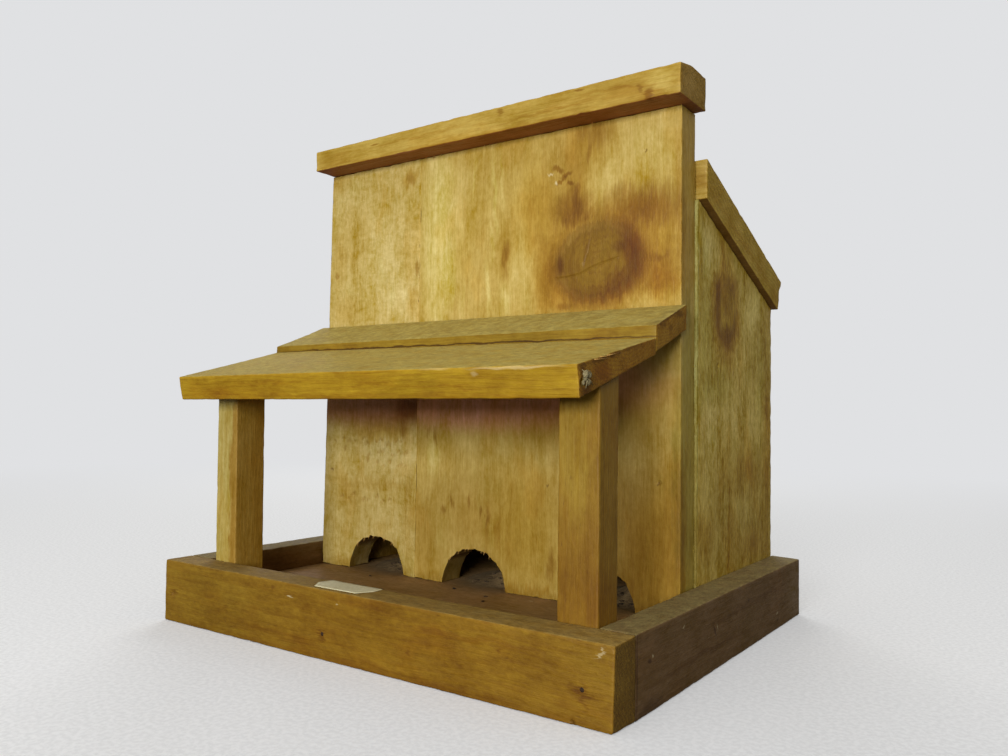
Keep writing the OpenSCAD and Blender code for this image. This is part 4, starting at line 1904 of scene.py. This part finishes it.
    def tufts(self) -> None:
        """Leaves torn fibres at the crowns of the arches and under the cap strip."""
        shape, rim = Shape(), self.arch_radius + 0.8
        for number, middle in enumerate(self.arches):
            for k, angle in enumerate((58, 70, 79, 96, 104, 121, 133)):
                swing = 3.0 * math.sin(2.1 * k + number)
                turn = math.radians(angle + swing)
                x, z = middle + rim * math.cos(turn), self.arch_level + rim * math.sin(turn)
                long = 1.5 + 1.1 * abs(math.sin(1.7 * k + 2.0 * number))
                y = -18.6 + 0.5 * math.sin(4.0 * k)
                root, middle_of_it = (x, y + 0.5, z + 0.9), (x - 0.15, y - 0.3, z - long / 2)
                shape.blade((root, (x + 0.1, y, z), middle_of_it, (x, y - 0.2, z - long)), 0.75, 0.4)
        under_cap = (
            (-52, 1.6), (-46, 2.0), (-40, 3.4), (-38.8, 2.2), (-33, 1.4),
            (3, 1.5), (7, 2.4), (12, 1.8), (82, 2.4), (-96, 2.0),
        )
        for x, long in under_cap:
            path = ((x, -19.4, 305.6), (x + 0.3, -19.9, 304.4), (x + 0.9, -20.4, 305.0 - long))
            shape.blade(path, 0.7, 0.35)
        self.small("torn_fibres", shape, FIBRE)


@dataclass
class Porch(Assembly):
    """The porch: two posts under a roof of two lapped boards.

    Attributes:
        nose: The lower board's front edge.
        end: The two boards' right ends.
        top: The two boards' upper faces.
    """

    nose: Sheet = Sheet(Face.FRONT, -137.5)
    end: Sheet = Sheet(Face.SIDE, 143.0)
    top: Sheet = Sheet(Face.TOP, 165.0, 30.0)

    def build(self) -> None:
        """Makes the posts, the two roof boards and what is on them."""
        self.posts()
        self.lower_board()
        self.upper_board()
        self.cocoon()

    def posts(self) -> None:
        """Makes the posts."""
        left, right = Sheet(Face.SIDE, -116.0), Sheet(Face.SIDE, 140.0)
        face = Sheet(Face.FRONT, -114.0)
        marks = (
            left.mark((-103, 80), (20, 90), Tint.RED, 0.75, edge=0.2),
            left.mark((-97, 90), (5, 70), Tint.TAN, 0.5),
            *face.each(Tint.TAN, (-126, 120, 3, 26, 0.4), (-131, 90, 1.6, 40, 0.5)),
            face.mark((-122, 60), (3, 30), Tint.CHALK, 0.4),
            *face.dots(((-128, 92), (-121, 134)), 1.0, Tint.BROWN, 0.4),
        )
        pulls = (Pull((0, 0, 1), (-0.9, 0, 0)), Pull((0, 0, -1), (0.9, 0, 0)))
        blank = Blank("left_post", Face.SIDE, 0.8, 3.0, seed=121, pulls=pulls)
        self.board(blank, LEFT_POST, Grain.UP, (-90.0, -70.0), marks=marks, drift=210.0)
        marks = (
            right.mark((-104, 44), (14, 24), Tint.TAN, 0.9),
            face.mark((128, 116), (14, 34), Tint.SAP, 0.9),
            face.mark((129, 50), (14, 30), Tint.TAN, 0.9, edge=0.9),
            *face.each(Tint.TAN, (136, 90, 4, 60, 0.5), (121, 60, 3, 50, 0.4)),
            face.mark((128, 120), (2.5, 26), Tint.GOLD, 0.6),
            *face.dots(((125, 104), (134, 62)), 1.0, Tint.BROWN, 0.4),
        )
        blank = Blank("right_post", Face.SIDE, 0.8, 3.0, seed=131)
        self.board(blank, RIGHT_POST, Grain.UP, (160.0, -60.0), marks=marks, drift=430.0)

    def lower_board(self) -> None:
        """Makes the lower board, whose front edge shows."""
        s, end, top = self.nose, self.end, self.top
        marks = (
            *s.each(
                Tint.GLINT, (109, 154.0, 26, 0.7, 0.3), (62, 154.0, 9, 0.6, 0.2), (87, 151.9, 2, 1.4, 0.2),
                cover=True, fray=Fray.LIGHT,
            ),
            *s.each(
                Tint.TAN, (0, 141, 150, 1.6, 0.6), (-60, 148, 50, 1.0, 0.6, -1), (50, 146, 60, 0.9, 0.6, 1),
            ),
            s.mark((-90, 143), (36, 3.6), Tint.GOLD, 0.7),
            *end.each(
                Tint.SOOT, (-133.3, 146.4, 1.6, 2.0, 0.9), (-129, 143.5, 6, 3, 0.6), (-134, 154, 3, 4, 0.5),
                (-102, 162.4, 36, 1.8, 0.5, 13.6), fray=Fray.LIGHT,
            ),
            end.mark((-116, 153), (9, 6), Tint.RED, 0.7),
            end.mark((-97.7, 163), (1.6, 1.6), Tint.PALE, 0.9, fray=Fray.LIGHT),
            top.mark((-40, -100), (70, 4), Tint.TAN, 0.5),
            *top.dots(((20, -120), (-60, -88), (92, -104), (-110, -112), (62, -80)), 1.2, Tint.BROWN, 0.7),
        )
        pulls = (
            Pull((-1, -1, 1), (-1.2, 0, -2.6)), Pull((-1, -1, -1), (0.6, 0, -0.7)),
            Pull((1, -1, 0), (-0.9, 0, 0.8)), Pull((1, 1, 1), (0, 0, -0.8)),
        )
        torn = ((-112, 161, 3.4, 0.9), (-121, 158.5, 2.4, 0.7), (-97.7, 164, 2.0, 1.0))
        chips = tuple(Chip((143, y, z), radius, depth) for y, z, radius, depth in torn)
        blank = Blank(
            "porch_lower_board", Face.SIDE, 0.8, 2.8, seed=141, pulls=pulls, chips=chips,
            far=(Pit((-133.3, 146.4), 1.5, 1.8),),
        )
        self.board(blank, LOWER_PORCH, Grain.ALONG_X, (210.0, -100.0), marks=marks)
        shape = Shape()
        for y, z, long, drop in ((-124, 159.0, 13, 1.4), (-119, 160.4, 11, 0.8), (-112, 161.6, 9, 0.6)):
            tip = (143.5, y + long, z + 0.11 * long - drop)
            shape.blade(((142.4, y, z - 1.4), (143.0, y + long / 3, z - 0.9), tip), 0.9, 0.5)
        self.small("torn_end", shape, FIBRE)

    def upper_board(self) -> None:
        """Makes the upper board, which stands a little proud of the lower one."""
        top, gap = self.top, Sheet(Face.FRONT, -61.0, 4.0)
        marks = (
            *top.each(Tint.TAN, (40, -36, 90, 3, 0.5), (0, -22, 150, 4, 0.6)),
            *top.dots(((70, -44), (-20, -38), (112, -30)), 1.2, Tint.BROWN, 0.7),
            # Painted shadow: the dark line under the upper board's front edge.
            gap.mark((0, 173.1), (170, 0.6), Tint.SOOT, 1.0, edge=0.4, fray=Fray.LIGHT),
            *self.end.each(
                Tint.SOOT,
                (-41, 186, 24, 1.6, 0.7, 20.5), (-53, 180, 5, 2.6, 0.5), (-30, 187.5, 6, 2.4, 0.5),
                (-42, 179, 4, 1.6, 0.4), fray=Fray.LIGHT,
            ),
        )
        pulls = (
            Pull((-1, -1, 0), (-2.6, 0, 0)), Pull((-1, -1, 1), (1.6, 0, -2.6)),
            Pull((1, -1, 0), (0, 0, 0.5)), Pull((1, 1, 0), (-1.4, 0, 0)),
        )
        blank = Blank("porch_upper_board", Face.SIDE, 0.7, 2.8, wear=0.5, seed=151, pulls=pulls)
        self.board(blank, UPPER_PORCH, Grain.ALONG_X, (240.0, -60.0), marks=marks, drift=80.0)

    def cocoon(self) -> None:
        """Leaves an old spider's cocoon and its threads on the right end of the lower board."""
        shape = Shape()
        lobes = (
            (-132.6, 150.2, 5, ((-0.6, 1.6), (0.1, 2.3), (0.6, 2.0), (1.0, 1.3), (1.2, 0.5))),
            (-130.2, 147.2, 8, ((-0.6, 1.0), (0.2, 1.5), (0.6, 1.0), (0.8, 0.4))),
            (-129.2, 150.7, 12, ((-0.6, 0.9), (0.2, 1.4), (0.6, 0.9), (0.8, 0.4))),
            (-134.2, 147.0, 9, ((-0.6, 0.8), (0.2, 1.2), (0.5, 0.8), (0.7, 0.3))),
        )
        for y, z, seed, profile in lobes:
            shape.turned((142.9, y, z), (1, 0, 0), profile, 0.9, seed)
        for y, z in ((-126.5, 146.2), (-135.8, 152.6), (-129.0, 152.4), (-132.6, 144.4)):
            path = ((143.2, -132.0, 149.0), (143.4, (y - 132.0) / 2, (z + 149.0) / 2 + 0.5), (143.05, y, z))
            shape.blade(path, 1.2, 0.6, 0.3)
        self.small("cocoon", shape, SILK)


# ---- the studio


@dataclass(frozen=True)
class Studio:
    """A plain pale floor under soft lamps, and the camera.

    Attributes:
        eye: The camera's place in millimetres.
        yaw: How far it turns from the back towards the left, in degrees.
        pitch: How far it looks up.
        roll: How far it leans.
        lens: Its focal length for a 36 mm sensor.
        floor_radius: Radius of the floor, in metres.
        air: Strength of the light from all round.
        pale: Colour of the background.
    """

    eye: Point = (323.4, -451.8, 134.7)
    yaw: float = -35.006
    pitch: float = 2.183
    roll: float = 0.762
    lens: float = 30.17
    floor_radius: float = 9.0
    air: float = 0.29
    pale: Colour = tone(224, 225, 227)

    def camera(self) -> None:
        """Sets up the camera."""
        yaw, pitch, roll = (math.radians(v) for v in (self.yaw, self.pitch, self.roll))
        ahead = Vector((math.sin(yaw) * math.cos(pitch), math.cos(yaw) * math.cos(pitch), math.sin(pitch)))
        right = Vector((math.cos(yaw), -math.sin(yaw), 0.0))
        up = right.cross(ahead)
        side = math.cos(roll) * right + math.sin(roll) * up
        top = -math.sin(roll) * right + math.cos(roll) * up
        turn = Matrix((side, top, -ahead)).transposed()
        data = bpy.data.cameras.new("camera")
        data.sensor_width, data.lens = 36.0, self.lens
        data.clip_start, data.clip_end = 0.02, 60.0
        camera = bpy.data.objects.new("camera", data)
        camera.matrix_world = Matrix.Translation(Vector(self.eye) * MM) @ turn.to_4x4()
        bpy.context.scene.collection.objects.link(camera)
        bpy.context.scene.camera = camera

    def lamp(self, name: str, bearing: float, height: float, far: float, size: Spot, power: float) -> None:
        """Hangs a soft lamp that faces the feeder.

        Args:
            name: Its name.
            bearing: Its direction from the feeder, in degrees from the front towards the right.
            height: Its height above the feeder, in degrees.
            far: Its distance in metres.
            size: Its width and height in metres.
            power: Its power in watts.
        """
        turn, rise = math.radians(bearing), math.radians(height)
        out = Vector((math.sin(turn) * math.cos(rise), -math.cos(turn) * math.cos(rise), math.sin(rise)))
        data = bpy.data.lights.new(name, "AREA")
        data.shape, data.size, data.size_y, data.energy = "RECTANGLE", size[0], size[1], power
        lamp = bpy.data.objects.new(name, data)
        lamp.location = Vector((0, 0, 0.15)) + out * far
        lamp.rotation_euler = out.to_track_quat("Z", "Y").to_euler()
        lamp.visible_camera = False
        bpy.context.scene.collection.objects.link(lamp)

    def surroundings(self) -> None:
        """Makes the floor and the pale air round it."""
        world = bpy.data.worlds.new("air")
        bpy.context.scene.world = world
        g = Graph(world)
        lit = g.add("Background", {"Color": (1.0, 1.0, 1.0), "Strength": self.air}).outputs[0]
        seen = g.add("Background", {"Color": self.pale, "Strength": 1.0}).outputs[0]
        path = g.add("LightPath").outputs["Is Camera Ray"]
        both = g.add("MixShader", {0: path, 1: lit, 2: seen}).outputs[0]
        g.add("OutputWorld", {"Surface": both})
        self.floor()

    def floor(self) -> None:
        """Lays the floor, which fades into the air far off and keeps the feeder's shadow."""
        mesh = bpy.data.meshes.new("floor")
        ring = np.column_stack([circle(96), np.zeros(96)]) * self.floor_radius
        mesh.from_pydata(ring.tolist(), [], [tuple(range(96))])
        g = Graph(bpy.data.materials.new("floor_paint"))
        place = g.add("TexCoord").outputs["Object"]
        far = g.span(g.vector("LENGTH", place), 0.42, 1.7, 0.0, 1.0)
        path = g.add("LightPath").outputs["Is Camera Ray"]
        grit = g.noise(g.vector("MULTIPLY", place, (420, 420, 420)), 3.0, 0.6)
        paint = g.mix(g.span(grit, 0.35, 0.65), tone(206, 206, 205), tone(220, 220, 219))
        dim = g.mix(path, tone(118, 116, 112), paint)
        matt = g.add("BsdfDiffuse", {"Color": dim}).outputs[0]
        glow = g.add("Emission", {"Color": self.pale, "Strength": 1.0}).outputs[0]
        lift = g.add("Emission", {"Color": self.pale, "Strength": 0.28}).outputs[0]
        lit = g.add("AddShader", {0: matt, 1: g.add("MixShader", {0: path, 2: lift}).outputs[0]}).outputs[0]
        both = g.add("MixShader", {0: g.math("MULTIPLY", far, path), 1: lit, 2: glow}).outputs[0]
        g.add("OutputMaterial", {"Surface": both})
        mesh.materials.append(g.owner)
        floor = bpy.data.objects.new("floor", mesh)
        bpy.context.scene.collection.objects.link(floor)
        floor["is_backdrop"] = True

    def build(self) -> None:
        """Sets up camera, lamps and floor."""
        self.camera()
        self.lamp("key", 16.0, 9.3, 1.9, (0.9, 0.54), 29.4)
        self.lamp("sky", 20.0, 75.0, 2.0, (1.6, 1.6), 9.5)
        self.lamp("back_left", 215.0, 30.0, 2.0, (1.2, 1.2), 14.5)
        self.surroundings()
        bpy.context.scene.view_settings.view_transform = "Standard"


def main() -> None:
    """Builds the feeder's sub-assemblies in order and reports each piece."""
    logging.basicConfig(level=logging.INFO, format="%(message)s")
    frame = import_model()
    cad_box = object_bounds()
    nodes = frame["nodes"]
    Studio().build()
    for assembly in (Tray(nodes, cad_box), House(nodes, cad_box), Porch(nodes, cad_box)):
        assembly.build()
        LOG.info("%s: %d pieces", type(assembly).__name__, len(assembly.made))


if __name__ == "__main__":
    main()
